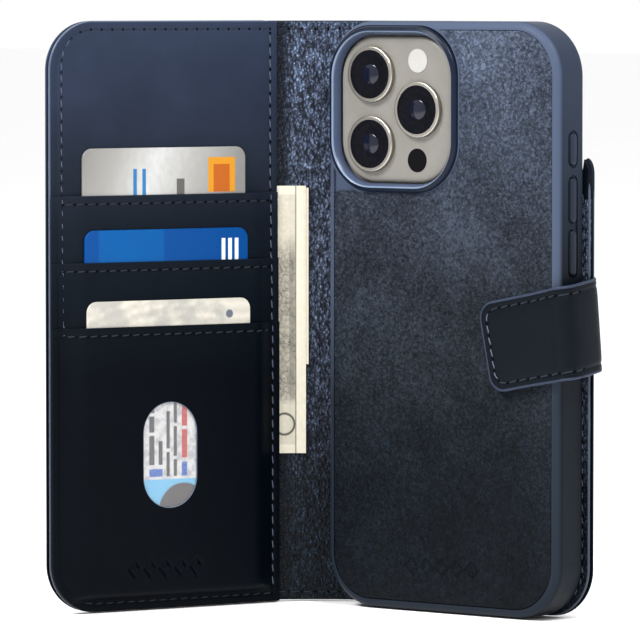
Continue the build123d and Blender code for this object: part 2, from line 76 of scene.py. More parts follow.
OUTER_LOW, OUTER_TOP = -1.0, 0.35
LINING_LOW, LINING_TOP = 0.4, 1.6
FRONT_LINING_TOP = 1.3
LINING_ROW = 2.05        # how far from its edge the thread draws the lining down
PANEL_LOW, PANEL_TOP = 1.75, 2.15
POCKET_SKIN = 0.45
SLOT_DEPTH = 0.9
POCKET_RIGHT = -3.0
POCKET_EDGES = (119.2, 100.1, 81.6)
SLOT_X = -41.3
SLOT_LOWS = [PANEL_TOP + i * (SLOT_DEPTH + POCKET_SKIN) for i in range(3)]
PAD_TOPS = [low + SLOT_DEPTH + POCKET_SKIN for low in SLOT_LOWS]
FLANGES = [PANEL_TOP + (i + 1) * POCKET_SKIN for i in range(3)]
CARD_W, CARD_H, CARD_T, CARD_R = 54.0, 84.0, 0.76, 3.18
CARD_TOPS = (132.7, 109.3, 89.0)
WINDOW_W, WINDOW_H, WINDOW_X, WINDOW_Z = 17.8, 30.6, -41.4, 44.4
NOTE_LOW, NOTE_H = 43.0, 78.0

STRAP_W, STRAP_TILT = 26.0, 11.0
STRAP_MID_X, STRAP_MID_Z = 73.0, 78.6
STRAP_LEFT = 61.2

TRAY_X, TRAY_FACE = 2.5, 14.3


# ------------------------------------------------------------------ places on the covers
def axis_of(name):
    """Where a hinge stands in plan, in millimetres."""
    joint = next(j for j in frame["joints"] if j["name"] == name)
    return np.array(joint["pos_m"][:2]) / MM


class Leaf:
    """A cover's own frame: u across, z up, w out of its inner side."""

    def __init__(self, origin, degrees):
        turn = math.radians(degrees)
        self.origin = np.array(origin)
        self.across = np.array((math.cos(turn), math.sin(turn)))
        self.out = np.array((math.sin(turn), -math.cos(turn)))

    def at(self, u, z, w):
        u, z, w = np.broadcast_arrays(*(np.asarray(a, float) for a in (u, z, w)))
        plan = self.origin + u[..., None] * self.across + w[..., None] * self.out
        return np.concatenate([plan, z[..., None]], axis=-1) * MM


BACK = Leaf(axis_of("spine_fold"), 0)
FRONT = Leaf(axis_of("front_fold"), BACK_FOLD + FRONT_FOLD)


# ------------------------------------------------------------------ mesh helpers
def new_object(name, verts, faces, mat, smooth=True):
    mesh = bpy.data.meshes.new(name)
    mesh.from_pydata(np.asarray(verts, float).reshape(-1, 3).tolist(), [], faces)
    mesh.update()
    shell = bmesh.new()
    shell.from_mesh(mesh)
    bmesh.ops.recalc_face_normals(shell, faces=shell.faces)
    shell.to_mesh(mesh)
    shell.free()
    if smooth:
        mesh.shade_smooth()
        mesh.set_sharp_from_angle(angle=math.radians(50))
    obj = bpy.data.objects.new(name, mesh)
    bpy.context.scene.collection.objects.link(obj)
    if mat is not None:
        mesh.materials.append(mat)
    return obj


def quads(rows, cols, start=0, flip=False, wrap=False):
    """Faces of a grid of vertices."""
    faces = []
    for i in range(rows - 1):
        for j in range(cols if wrap else cols - 1):
            k = (j + 1) % cols
            a, b = start + i * cols + j, start + i * cols + k
            c, d = start + (i + 1) * cols + k, start + (i + 1) * cols + j
            faces.append((d, c, b, a) if flip else (a, b, c, d))
    return faces


def closed_sheet(name, top, bottom, mat):
    """A solid sheet between two grids of the same shape."""
    rows, cols = top.shape[:2]
    count = rows * cols
    faces = quads(rows, cols) + quads(rows, cols, count, flip=True)
    rim = list(range(cols))
    rim += [i * cols + cols - 1 for i in range(1, rows)]
    rim += [(rows - 1) * cols + j for j in range(cols - 2, -1, -1)]
    rim += [i * cols for i in range(rows - 2, 0, -1)]
    for a, b in zip(rim, rim[1:] + rim[:1]):
        faces.append((b, a, a + count, b + count))
    return new_object(name, np.concatenate([top.reshape(-1, 3), bottom.reshape(-1, 3)]), faces, mat)


FINE = (0, 0.06, 0.15, 0.3, 0.5, 0.8, 1.2, 1.7, 2.05, 2.25, 2.4, 2.55, 2.75, 3.1, 3.8)


def steps(length, fine=FINE, gap=1.3, both=True):
    """Distances from 0 to length, close together near the ends."""
    near = [d for d in fine if d < length / 2]
    last = near[-1]
    inner = np.linspace(last, length - last if both else length, max(2, int((length - 2 * last) / gap) + 1))
    far = [length - d for d in near][::-1] if both else []
    return np.unique(np.round(np.concatenate([near, inner, far]), 5))


def corner_rows(z_low, z_high, round_low, round_high, extra=()):
    """Row heights of a leaf: close together in its rounded corners."""
    rows = list(z_low + steps(z_high - z_low))
    angles = np.radians(np.arange(0, 91, 6))
    if round_low:
        rows += list(z_low + round_low * (1 - np.cos(angles)))
    if round_high:
        rows += list(z_high - round_high * (1 - np.cos(angles)))
    for centre in extra:
        rows += [centre + d for d in (-0.5, -0.25, 0, 0.25, 0.5)] if len(extra) < 8 else [centre]
    rows = np.unique(np.round([r for r in rows if z_low <= r <= z_high], 4))
    keep = [rows[0]]
    for r in rows[1:]:
        if r - keep[-1] > 0.03:
            keep.append(r)
    keep[-1] = z_high
    return np.array(keep)


def inset_of(z, z_low, z_high, r_low, r_high):
    """How far a rounded corner pulls the side in at each height."""
    pull = np.zeros_like(z)
    if r_low:
        d = np.clip(z_low + r_low - z, 0, r_low)
        pull = np.maximum(pull, r_low - np.sqrt(np.maximum(r_low**2 - d**2, 0)))
    if r_high:
        d = np.clip(z - (z_high - r_high), 0, r_high)
        pull = np.maximum(pull, r_high - np.sqrt(np.maximum(r_high**2 - d**2, 0)))
    return pull


class Outline:
    """A rectangle in u and z whose four corners may be rounded."""

    def __init__(self, u_low, u_high, z_low, z_high, left=(0, 0), right=(0, 0)):
        self.u_low, self.u_high, self.z_low, self.z_high = u_low, u_high, z_low, z_high
        self.left, self.right = left, right

    def grid(self, extra_rows=(), extra_cols=(), gap=1.3):
        r_low, r_high = max(self.left[0], self.right[0]), max(self.left[1], self.right[1])
        z = corner_rows(self.z_low, self.z_high, r_low, r_high, extra_rows)
        width = self.u_high - self.u_low
        t = np.unique(np.append(steps(width, gap=gap), np.asarray(extra_cols) - self.u_low)) / width
        low = self.u_low + inset_of(z, self.z_low, self.z_high, *self.left)
        high = self.u_high - inset_of(z, self.z_low, self.z_high, *self.right)
        u = low[:, None] + (high - low)[:, None] * t[None]
        return u, np.repeat(z[:, None], len(t), 1)

    def inside(self, u, z):
        """Distance from a point inside to the outline."""
        across = np.minimum(u - self.u_low, self.u_high - u)
        d = np.minimum(across, np.minimum(z - self.z_low, self.z_high - z))
        for edge, sign, radii in ((self.u_low, 1, self.left), (self.u_high, -1, self.right)):
            for side, up, radius in ((self.z_low, 1, radii[0]), (self.z_high, -1, radii[1])):
                if not radius:
                    continue
                du = radius - sign * (u - edge)
                dz = radius - up * (z - side)
                corner = (du > 0) & (dz > 0)
                d = np.where(corner, radius - np.hypot(du, dz), d)
        return np.maximum(d, 0)


def rounding(d, r):
    """Drop of a rounded edge at a distance from it."""
    x = np.clip(r - d, 0, r)
    return r - np.sqrt(np.maximum(r * r - x * x, 0))


def smoothstep(x, low, high):
    t = np.clip((x - low) / (high - low), 0, 1)
    return t * t * (3 - 2 * t)


def ripple(u, z, size, seed):
    """Soft waviness of a leather surface, the same on every run."""
    rng = np.random.default_rng(seed)
    out = np.zeros_like(u)
    for k in range(7):
        angle = rng.uniform(0, math.pi)
        wave = size * rng.uniform(0.6, 1.8)
        phase = rng.uniform(0, 2 * math.pi)
        out += np.sin((u * math.cos(angle) + z * math.sin(angle)) * 2 * math.pi / wave + phase)
    return out / 7


def stitch_path(points, name, place, out_sign=1.0, lift=0.0, width=0.42, height=0.38):
    """Separate slanted stitches with needle holes between them, along a line of (u, z, w) points."""
    points = np.asarray(points, float)
    seg = np.linalg.norm(np.diff(points, axis=0), axis=1)
    along = np.concatenate([[0], np.cumsum(seg)])
    count = max(1, int(round(along[-1] / STITCH_PITCH)))
    pitch = along[-1] / count
    length = pitch * STITCH_LENGTH / STITCH_PITCH
    ring_n, rows = 8, 9
    rng = np.random.default_rng(len(points))
    verts, faces, holes, upright = [], [], [], []
    for k in range(count):
        s = (k + 0.5 + rng.uniform(-0.03, 0.03)) * pitch + np.linspace(-0.5, 0.5, rows) * length
        mid = np.stack([np.interp(s, along, points[:, i]) for i in range(3)], -1)
        tangent = mid[-1] - mid[0]
        tangent /= np.linalg.norm(tangent)
        upright += [abs(tangent[1]) > abs(tangent[0])] * ((rows - 1) * ring_n + 2)
        side = np.array((-tangent[1], tangent[0], 0.0))
        x = np.linspace(-1, 1, rows)
        swell = np.sqrt(np.maximum(1 - np.abs(x) ** 3.2, 0)) * 0.92 + 0.06
        dip = lift + height * 0.5 * (1 - np.abs(x) ** 4) - 0.2
        slant = side[None] * (x * rng.uniform(0.10, 0.20))[:, None]
        start = len(verts)
        for i in range(rows):
            for j in range(ring_n):
                turn = 2 * math.pi * j / ring_n
                p = mid[i] + slant[i] + side * (math.cos(turn) * width / 2 * swell[i])
                rise = dip[i] + math.sin(turn) * height / 2 * swell[i]
                verts.append(p + np.array((0, 0, out_sign * rise)))
        faces += quads(rows, ring_n, start, wrap=True, flip=out_sign < 0)
        faces.append(tuple(start + j for j in range(ring_n))[::-1])
        faces.append(tuple(start + (rows - 1) * ring_n + j for j in range(ring_n)))
    for k in range(count + 1):
        mid = np.array([np.interp(k * pitch, along, points[:, i]) for i in range(3)])
        start = len(verts)
        for radius, sink in ((0.42, 0.10), (0.30, 0.13), (0.0, 0.02)):
            for j in range(ring_n):
                turn = 2 * math.pi * j / ring_n
                ring = (radius * math.cos(turn), radius * math.sin(turn), out_sign * (lift + sink))
                verts.append(mid + np.array(ring))
        holes += quads(3, ring_n, start, wrap=True, flip=out_sign < 0)
    verts = np.array(verts)
    made = new_object(name, place(verts[:, 0], verts[:, 1], verts[:, 2]), faces + holes, LIT_THREAD_UPRIGHT)
    made.data.materials.append(NEEDLE_HOLE_PAINTED_SHADE)
    made.data.materials.append(SHADED_THREAD_ACROSS)
    marks = np.ones(len(made.data.polygons), np.int32)      # 0 upright thread in the lit tone, 1 needle hole in painted shade, 2 thread across in the painted shaded tone
    marks[:len(faces)] = np.where(upright, 0, 2)
    made.data.polygons.foreach_set("material_index", marks)
    return made


# ------------------------------------------------------------------ materials
def shader(name):
    mat = bpy.data.materials.new(name)
    mat.use_nodes = True
    return mat, mat.node_tree, mat.node_tree.nodes["Principled BSDF"]


def feed(tree, socket, value):
    """Give a socket a number, a colour or another node's output."""
    if isinstance(value, (int, float)):
        socket.default_value = value
    elif isinstance(value, tuple):
        socket.default_value = (*value, 1)
    else:
        tree.links.new(value, socket)


def node(tree, kind, **settings):
    """A node with its named inputs fed and its other settings set."""
    made = tree.nodes.new(kind)
    for key, value in settings.items():
        if key in made.inputs:
            feed(tree, made.inputs[key], value)
        else:
            setattr(made, key, value)
    return made


def surface(tree, bsdf, colour, rough, specular=None):
    """The three settings that nearly every material here gives its shader."""
    for key, value in (("Base Color", colour), ("Roughness", rough), ("Specular IOR Level", specular)):
        if value is not None:
            feed(tree, bsdf.inputs[key], value)


def math_node(tree, operation, *values):
    made = node(tree, "ShaderNodeMath", operation=operation)
    for socket, value in zip(made.inputs, values):
        feed(tree, socket, value)
    return made.outputs[0]


def times(tree, first, *others):
    for other in others:
        first = math_node(tree, "MULTIPLY", first, other)
    return first


def hypotenuse(tree, a, b):
    return math_node(tree, "SQRT", math_node(tree, "ADD", times(tree, a, a), times(tree, b, b)))


def scaled(tree, vector, amount):
    return node(tree, "ShaderNodeVectorMath", operation="SCALE", Vector=vector, Scale=amount).outputs[0]


def added(tree, a, b):
    made = node(tree, "ShaderNodeVectorMath", operation="ADD")
    tree.links.new(a, made.inputs[0])
    tree.links.new(b, made.inputs[1])
    return made.outputs[0]


def xyz(tree, vector):
    """The three parts of a vector."""
    return node(tree, "ShaderNodeSeparateXYZ", Vector=vector).outputs


def coords(tree):
    """Place on the object, in millimetres."""
    return scaled(tree, tree.nodes.new("ShaderNodeTexCoord").outputs["Object"], 1 / MM)


def streaks(tree, amount):
    """Place on the object, squeezed along a diagonal, for grain that runs one way."""
    turned = tree.nodes.new("ShaderNodeMapping")
    turned.inputs["Rotation"].default_value = (0.0, math.radians(38), 0.0)
    turned.inputs["Scale"].default_value = (1.0 + 0.5 * amount, 1.0, 1.0 - 0.35 * amount)
    tree.links.new(coords(tree), turned.inputs["Vector"])
    return turned.outputs["Vector"]


def drift(tree, vector, scale):
    """Soft noise in all three directions, to shift a pattern with."""
    return node(tree, "ShaderNodeTexNoise", Scale=scale, Vector=vector).outputs["Color"]


def wandering(tree, vector, scale, amount):
    """Place shifted by soft noise, so that lines drawn from it wander."""
    return added(tree, vector, scaled(tree, drift(tree, vector, scale), amount))


def noise(tree, vector, scale, detail=3.0, rough=0.55):
    made = node(tree, "ShaderNodeTexNoise", Scale=scale, Detail=detail, Roughness=rough, Vector=vector)
    return made.outputs["Fac"]


def voronoi(tree, vector, scale, feature="DISTANCE_TO_EDGE"):
    return node(tree, "ShaderNodeTexVoronoi", feature=feature, Scale=scale, Vector=vector).outputs["Distance"]


def ramp(tree, value, stops):
    made = node(tree, "ShaderNodeValToRGB", Fac=value)
    elements = made.color_ramp.elements
    while len(elements) < len(stops):
        elements.new(0.5)
    for element, (place, colour) in zip(elements, stops):
        element.position = place
        element.color = (*colour, 1)
    return made.outputs["Color"]


def greys(*stops):
    """Colour ramp stops in neutral grey."""
    return tuple((place, (grey, grey, grey)) for place, grey in stops)


def spread(tree, value, low, high, to_low, to_high):
    """A value carried from one range to another, kept inside it."""
    limits = {"From Min": low, "From Max": high, "To Min": to_low, "To Max": to_high}
    return node(tree, "ShaderNodeMapRange", Value=value, **limits).outputs["Result"]


def mottle(tree, vector, scale, detail, to_low, to_high):
    """Noise spread evenly between two values."""
    return spread(tree, noise(tree, vector, scale, detail), 0.3, 0.7, to_low, to_high)


def mix(tree, fac, a, b, mode="MIX"):
    made = node(tree, "ShaderNodeMix", data_type="RGBA", blend_type=mode)
    for socket, value in ((made.inputs[0], fac), (made.inputs[6], a), (made.inputs[7], b)):
        feed(tree, socket, value)
    return made.outputs[2]


def tinted(tree, *tones):
    """Tones laid over each other by multiplying."""
    tone = tones[0]
    for other in tones[1:]:
        tone = mix(tree, 1.0, tone, other, "MULTIPLY")
    return tone


def bump(tree, bsdf, height, strength, distance):
    """Relief, on top of the relief that the shader already has."""
    made = node(tree, "ShaderNodeBump", Strength=strength, Distance=distance, Height=height)
    previous = bsdf.inputs["Normal"].links
    if previous:
        tree.links.new(previous[0].from_socket, made.inputs["Normal"])
    tree.links.new(made.outputs["Normal"], bsdf.inputs["Normal"])


def painted_light_by_height(tree, stops):
    """Painted light: colour that grows lighter towards the top edge, as light from above would make it:
    (height as a share of the cover, colour) stops.
    """
    height = xyz(tree, tree.nodes.new("ShaderNodeTexCoord").outputs["Object"])["Z"]
    return ramp(tree, spread(tree, height, 0.0, COVER_H * MM, 0.0, 1.0), stops)


# Pocket and cover leather: navy colour with painted light, near black at the bottom and lighter towards the
# top.
POCKET_COLOUR_PAINTED_LIGHT = ((0.0, (0.0006, 0.0014, 0.0028)), (0.4, (0.0007, 0.0016, 0.0032)),
              (0.55, (0.0026, 0.0047, 0.0076)), (0.66, (0.0054, 0.0080, 0.0129)),
              (0.76, (0.0107, 0.0148, 0.0237)), (0.88, (0.0165, 0.0225, 0.0410)),
              (1.0, (0.0190, 0.0270, 0.0480)))
# Strap colour, with a slight painted lightening towards the top.
STRAP_COLOUR_PAINTED_LIGHT = ((0.0, (0.0020, 0.0034, 0.0058)), (1.0, (0.0024, 0.0040, 0.0068)))
# Lining colour with painted light: dark low down, lighter towards the top.
LINING_COLOUR_PAINTED_LIGHT = ((0.0, (0.0050, 0.0090, 0.0150)), (0.2, (0.0085, 0.0135, 0.0220)),
              (0.45, (0.0480, 0.0620, 0.0970)), (0.62, (0.0620, 0.0800, 0.1230)),
              (1.0, (0.0540, 0.0730, 0.1220)))
# Tray leather colour with painted light: dark low down, lighter towards the top.
INLAY_COLOUR_PAINTED_LIGHT = ((0.0, (0.0020, 0.0032, 0.0052)), (0.12, (0.0026, 0.0040, 0.0063)),
             (0.27, (0.0042, 0.0062, 0.0094)), (0.43, (0.0090, 0.0122, 0.0166)),
             (0.64, (0.0172, 0.0216, 0.0305)), (0.77, (0.0237, 0.0305, 0.0440)),
             (0.93, (0.0450, 0.0570, 0.0850)))
# Painted shade in the needle holes.
HOLE_PAINTED_SHADE_TONES = ((0.0, (0.0004, 0.0005, 0.0008)), (1.0, (0.0010, 0.0013, 0.0020)))
# Painted shade for the dark strip beside the pockets.
CREASE_PAINTED_SHADE_TONES = ((0.0, (0.0006, 0.0009, 0.0014)), (1.0, (0.0040, 0.0060, 0.0100)))
# Edge paint, lighter than the leather as a painted highlight on the rolled edges, and lighter towards the
# top.
EDGE_PAINT_HIGHLIGHT_TONES = ((0.0, (0.0200, 0.0270, 0.0430)), (1.0, (0.0560, 0.0750, 0.1150)))
# Tray side colour with painted light: darker low down, lighter near the top.
SIDE_COLOUR_PAINTED_LIGHT = ((0.0, (0.0035, 0.0055, 0.0090)), (0.3, (0.0028, 0.0045, 0.0075)),
            (0.6, (0.0030, 0.0052, 0.0090)), (0.8, (0.0140, 0.0200, 0.0340)),
            (1.0, (0.0230, 0.0310, 0.0520)))
# Painted highlight on the tray's front edge, brighter towards the top.
LIP_PAINTED_HIGHLIGHT = ((0.0, (0.0090, 0.0130, 0.0200)), (0.35, (0.0120, 0.0170, 0.0260)),
           (0.55, (0.0420, 0.0550, 0.0870)), (1.0, (0.0450, 0.0600, 0.0980)))
# Side keys' colour with painted light: lighter towards the top.
KEY_COLOUR_PAINTED_LIGHT = ((0.0, (0.0060, 0.0085, 0.0135)), (0.6, (0.0075, 0.0110, 0.0180)),
           (1.0, (0.0200, 0.0275, 0.0460)))
CHANNEL_SHADE = (0.0014, 0.0024, 0.0044)


def smooth_leather(name, colour_with_painted_light, specular=0.04, rough=0.30):
    mat, tree, bsdf = shader(name)
    v = coords(tree)
    # The height ramp is painted light; the mottle is the leather's own cloudy tone.
    mottled_painted_light = scaled(tree, painted_light_by_height(tree, colour_with_painted_light), mottle(tree, v, 0.05, 4, 0.88, 1.12))
    surface(tree, bsdf, mottled_painted_light, mottle(tree, v, 0.35, 5, rough, rough + 0.12), specular)
    bump(tree, bsdf, noise(tree, v, 2.6, 6, 0.7), 0.35, 0.00012)
    bump(tree, bsdf, voronoi(tree, v, 1.6), 0.12, 0.0001)
    bump(tree, bsdf, noise(tree, v, 0.12, 3), 0.2, 0.0008)
    return mat


def beside_pockets(tree, v):
    """Share of shade: strong in the channel beside the card pockets, none over the spine."""
    edge = FRONT.at(np.array([POCKET_RIGHT]), np.array([0.0]), np.array([FRONT_LINING_TOP])).reshape(-1) / MM
    place = xyz(tree, v)
    away = [math_node(tree, "SUBTRACT", place[axis], float(edge[axis])) for axis in (0, 1)]
    return spread(tree, hypotenuse(tree, *away), 2.2, 5.0, 0.9, 0.0)


def pebbled_leather(name, colour_with_painted_light, cell=0.95, pebble=1.15):
    """Lining: darker lines between cells, and painted glints that run along a diagonal."""
    mat, tree, bsdf = shader(name)
    v = coords(tree)
    shift = drift(tree, v, 0.5)
    cells = voronoi(tree, added(tree, v, shift), cell)
    pebbles = voronoi(tree, added(tree, streaks(tree, 1.0), shift), pebble, "F1")
    patches = noise(tree, streaks(tree, 1.0), 0.45, 3, 0.6)
    specks = math_node(tree, "SUBTRACT", spread(tree, patches, 0.3, 0.7, 0.75, 1.3), pebbles)
    pits = ramp(tree, cells, greys((0.0, 0.3), (0.12, 0.75), (0.4, 1.2)))
    glint = ramp(tree, specks, ((0.25, (0.20, 0.20, 0.21)), (0.5, (0.62, 0.62, 0.62)),
                                (0.75, (1.5, 1.5, 1.52)), (1.0, (3.1, 3.1, 3.0))))
    # Painted light: the height ramp, and glint specks brighter than the lining's own colour.
    lining_painted_light = tinted(tree, painted_light_by_height(tree, colour_with_painted_light), pits, glint)
    colour = mix(tree, beside_pockets(tree, v), lining_painted_light, CHANNEL_SHADE)
    surface(tree, bsdf, colour, spread(tree, cells, 0.0, 0.3, 0.55, 0.36), 0.10)
    bump(tree, bsdf, spread(tree, cells, 0.0, 0.35, 0.0, 1.0), 0.6, 0.00028)
    bump(tree, bsdf, specks, 0.5, 0.0003)
    bump(tree, bsdf, noise(tree, v, 3.5, 5, 0.7), 0.3, 0.0001)
    return mat


def inlay_leather():
    """The tray's leather: soft clouds, fine grain and wandering wrinkles, with painted shade in their creases
    and a painted highlight along their edges.
    """
    mat, tree, bsdf = shader("inlay_leather")
    v = coords(tree)
    clouds = noise(tree, v, 0.06, 6, 0.62)
    crackle = noise(tree, wandering(tree, v, 0.9, 0.9), 1.25, 4, 0.62)
    grain = math_node(tree, "ADD", times(tree, clouds, 0.34), times(tree, crackle, 0.66))
    tone = ramp(tree, grain, ((0.38, (0.30, 0.30, 0.31)), *greys((0.46, 0.66), (0.53, 1.02), (0.61, 1.85))))
    wrinkles = noise(tree, wandering(tree, v, 0.35, 2.6), 0.62, 4, 0.6)
    creases = math_node(tree, "ABSOLUTE", math_node(tree, "SUBTRACT", wrinkles, 0.5))
    # Painted shade in the wrinkles' creases and a painted highlight along their edges.
    fold_shade_and_highlight = ramp(tree, creases, ((0.0, (0.58, 0.58, 0.59)),
                                 *greys((0.010, 0.72), (0.024, 1.50), (0.055, 1.0), (0.2, 0.92))))
    colour = tinted(tree, painted_light_by_height(tree, INLAY_COLOUR_PAINTED_LIGHT), tone, fold_shade_and_highlight)
    surface(tree, bsdf, colour, spread(tree, clouds, 0.3, 0.7, 0.52, 0.36), 0.06)
    bump(tree, bsdf, spread(tree, creases, 0.0, 0.08, 0.0, 1.0), 0.5, 0.0003)
    bump(tree, bsdf, crackle, 0.6, 0.0004)
    bump(tree, bsdf, voronoi(tree, v, 0.9), 0.25, 0.00016)
    bump(tree, bsdf, noise(tree, v, 4.0, 4), 0.3, 0.00008)
    return mat


def plastic(name, colour, rough, specular=0.4, grain=0.00003, colour_with_painted_light=None, lip=None):
    """Moulded or painted surface; lip is the painted highlight of the tray's front edge."""
    mat, tree, bsdf = shader(name)
    v = coords(tree)
    if colour_with_painted_light:
        tone = painted_light_by_height(tree, colour_with_painted_light)
        if lip:
            face = BACK.origin[1] - TRAY_FACE
            # Painted highlight: the band along the front edge takes the lighter lip tones.
            lip_highlight_share = spread(tree, xyz(tree, v)["Y"], face + 2.0, face + 0.9, 0.0, 1.0)
            tone = mix(tree, lip_highlight_share, tone, painted_light_by_height(tree, lip))
    else:
        worn = spread(tree, noise(tree, v, 0.2, 4), 0.35, 0.7, 0.0, 0.35)
        tone = mix(tree, worn, colour, tuple(c * 0.75 for c in colour))
    surface(tree, bsdf, tone, mottle(tree, v, 0.5, 4, rough * 0.9, rough * 1.12), specular)
    bump(tree, bsdf, noise(tree, v, 6.0, 3), 0.25, grain)
    return mat


def metal(name, colour, rough):
    mat, tree, bsdf = shader(name)
    v = coords(tree)
    bsdf.inputs["Metallic"].default_value = 1.0
    tone = mix(tree, noise(tree, v, 0.8, 4), colour, tuple(c * 0.88 for c in colour))
    surface(tree, bsdf, tone, mottle(tree, v, 5.0, 4, rough * 0.85, rough * 1.15))
    bump(tree, bsdf, noise(tree, v, 9.0, 2), 0.15, 0.00002)
    return mat


def thread_material(name, shaded, lit):
    """Twisted thread: slanted bands between a painted shaded tone and a painted lit tone."""
    mat, tree, bsdf = shader(name)
    v = coords(tree)
    twist = node(tree, "ShaderNodeTexWave", wave_type="BANDS", bands_direction="DIAGONAL", Scale=1.1,
                 Distortion=0.6, Vector=v).outputs["Fac"]
    surface(tree, bsdf, mix(tree, twist, shaded, lit), mottle(tree, v, 2.0, 3.0, 0.55, 0.75), 0.12)
    bsdf.inputs["Sheen Weight"].default_value = 0.04
    bump(tree, bsdf, twist, 0.6, 0.0001)
    return mat


LEATHER = smooth_leather("smooth_leather", POCKET_COLOUR_PAINTED_LIGHT)
OUTER_LEATHER = smooth_leather("outer_leather", POCKET_COLOUR_PAINTED_LIGHT, 0.008, 0.5)
STRAP_LEATHER = smooth_leather("strap_leather", STRAP_COLOUR_PAINTED_LIGHT, 0.06)
PEBBLE = pebbled_leather("pebbled_leather", LINING_COLOUR_PAINTED_LIGHT)
INLAY = inlay_leather()
# One thread in two tones: a lit tone for upright runs and a painted darker tone for runs across, as painted
# light and shade.
LIT_THREAD_UPRIGHT = thread_material("thread", (0.006, 0.008, 0.014), (0.115, 0.140, 0.200))
SHADED_THREAD_ACROSS = thread_material("thread_painted_shade", (0.0025, 0.0038, 0.0065), (0.022, 0.029, 0.045))
NEEDLE_HOLE_PAINTED_SHADE = smooth_leather("needle_hole_painted_shade", HOLE_PAINTED_SHADE_TONES)
CREASE_PAINTED_SHADE = smooth_leather("crease_painted_shade", CREASE_PAINTED_SHADE_TONES)
EDGE_PAINT_AND_HIGHLIGHT = plastic("edge_paint_painted_highlight", None, 0.3, 0.3, colour_with_painted_light=EDGE_PAINT_HIGHLIGHT_TONES)
# Strap edge paint, much lighter than the strap as a painted highlight.
STRAP_EDGE_PAINT_AND_HIGHLIGHT = plastic("strap_edge_paint_painted_highlight", (0.022, 0.030, 0.052), 0.4, 0.10)
RUBBER = plastic("tray_elastomer", None, 0.42, 0.06, colour_with_painted_light=SIDE_COLOUR_PAINTED_LIGHT, lip=LIP_PAINTED_HIGHLIGHT)
RIM = plastic("camera_rim_blue", (0.0045, 0.0080, 0.0180), 0.3, 0.12)
# Painted light on the camera rim: a lit inner wall and a bright highlight line.
RIM_WALL_PAINTED_LIT = plastic("camera_rim_wall_painted_lit", (0.040, 0.055, 0.098), 0.3, 0.3)
RIM_PAINTED_HIGHLIGHT = plastic("camera_rim_painted_highlight", (0.120, 0.160, 0.235), 0.25, 0.35)
TITANIUM = metal("natural_titanium", (0.36, 0.34, 0.30), 0.30)
FROSTED = plastic("frosted_back", (0.165, 0.158, 0.143), 0.34, 0.25, 0.00002)
BLACK_GLASS = plastic("black_glass", (0.003, 0.003, 0.004), 0.18, 0.05, 0.000001)
DIFFUSER = plastic("flash_diffuser", (0.34, 0.335, 0.315), 0.25, 0.4, 0.00004)
STEEL = metal("plated_steel", (0.62, 0.62, 0.63), 0.35)
# Painted highlight: a pale tone for the bright line along the ID window's edge.
WINDOW_PAINTED_SHEEN = plastic("window_edge", (0.10, 0.13, 0.19), 0.3, 0.3)


# ------------------------------------------------------------------ front cover
def ride_as(obj, body, slot, *nodes):
    """obj moves with a body and stands for some CAD nodes; slot is not used."""
    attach(obj, body)
    if nodes:
        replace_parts(obj, *nodes)
    return obj


def groove(d, inset=STITCH_INSET, depth=0.12, half=0.45):
    """Hollow that the thread pulls into the leather."""
    return -depth * np.exp(-((d - inset) / half) ** 2)


def front_leaf(margin, right):
    """Outline of a sheet of the front cover, set in by a margin, up to a side next to the crease."""
    round_off = COVER_R - margin
    return Outline(-FRONT_W + margin, right, margin, COVER_H - margin, left=(round_off, round_off))


def plate(name, outline, low, high, r_low, r_high, mat, wave=0.0, features=None, gap=1.3, open_right=False):
    """A leather sheet of the front cover with rounded edges; open_right keeps its right side square."""
    u, z = outline.grid(gap=gap)
    u_high = outline.u_high + (FAR if open_right else 0)
    whole = Outline(outline.u_low, u_high, outline.z_low, outline.z_high, outline.left, outline.right)
    d = whole.inside(u, z)
    top = high - rounding(d, r_high)
    if wave:
        top = top + wave * ripple(u, z, 40, 1) * smoothstep(d, 1, 8)
    if features is not None:
        top = top + features(u, z, d)
    return closed_sheet(name, FRONT.at(u, z, top), FRONT.at(u, z, low + rounding(d, r_low)), mat)


outer_skin = plate("front_outer_skin", front_leaf(0, -CREASE_REACH), OUTER_LOW, OUTER_TOP, 0.55, 0.25,
                   OUTER_LEATHER, open_right=True, gap=2.0)
ride_as(outer_skin, "front_cover", "smooth_leather", "front_outer_leather")
inner_lining = plate("front_inner_lining", front_leaf(0.35, -CREASE_REACH), LINING_LOW, FRONT_LINING_TOP,
                     0.2, 0.3, PEBBLE, open_right=True, gap=2.0,
                     features=lambda u, z, d: groove(d, LINING_ROW) * (u > POCKET_RIGHT - 6))
ride_as(inner_lining, "front_cover", "grained_leather", "front_lining", "front_board")
pocket_edge = plate("cash_pocket_edge", front_leaf(0.6, POCKET_RIGHT), 1.32, 1.72, 0.15, 0.15, LEATHER,
                    gap=6.0)
ride_as(pocket_edge, "front_cover", "smooth_leather", "cash_pocket_edge_strip")
pocket_front = plate("cash_pocket_front", front_leaf(0.15, POCKET_RIGHT), PANEL_LOW - 0.1, PANEL_TOP,
                     0.15, 0.3, LEATHER, wave=0.05,
                     features=lambda u, z, d: groove(d, STITCH_INSET - 0.15))
ride_as(pocket_front, "front_cover", "smooth_leather", "cash_pocket_panel")


def pressed_mark(u, z, centre_u, centre_z, size, depth):
    """A pressed ornament: five plain lozenges in a row."""
    pitch, half_height = size + 0.5, 2.9
    x = np.abs(u - centre_u)
    nearest = np.clip(np.round(x / pitch), 0, 2) * pitch
    reach = np.abs(x - nearest) / (size / 2) + np.abs(z - centre_z) / half_height
    return -depth * (1 - smoothstep(np.abs(reach - 0.8), 0.10, 0.36))


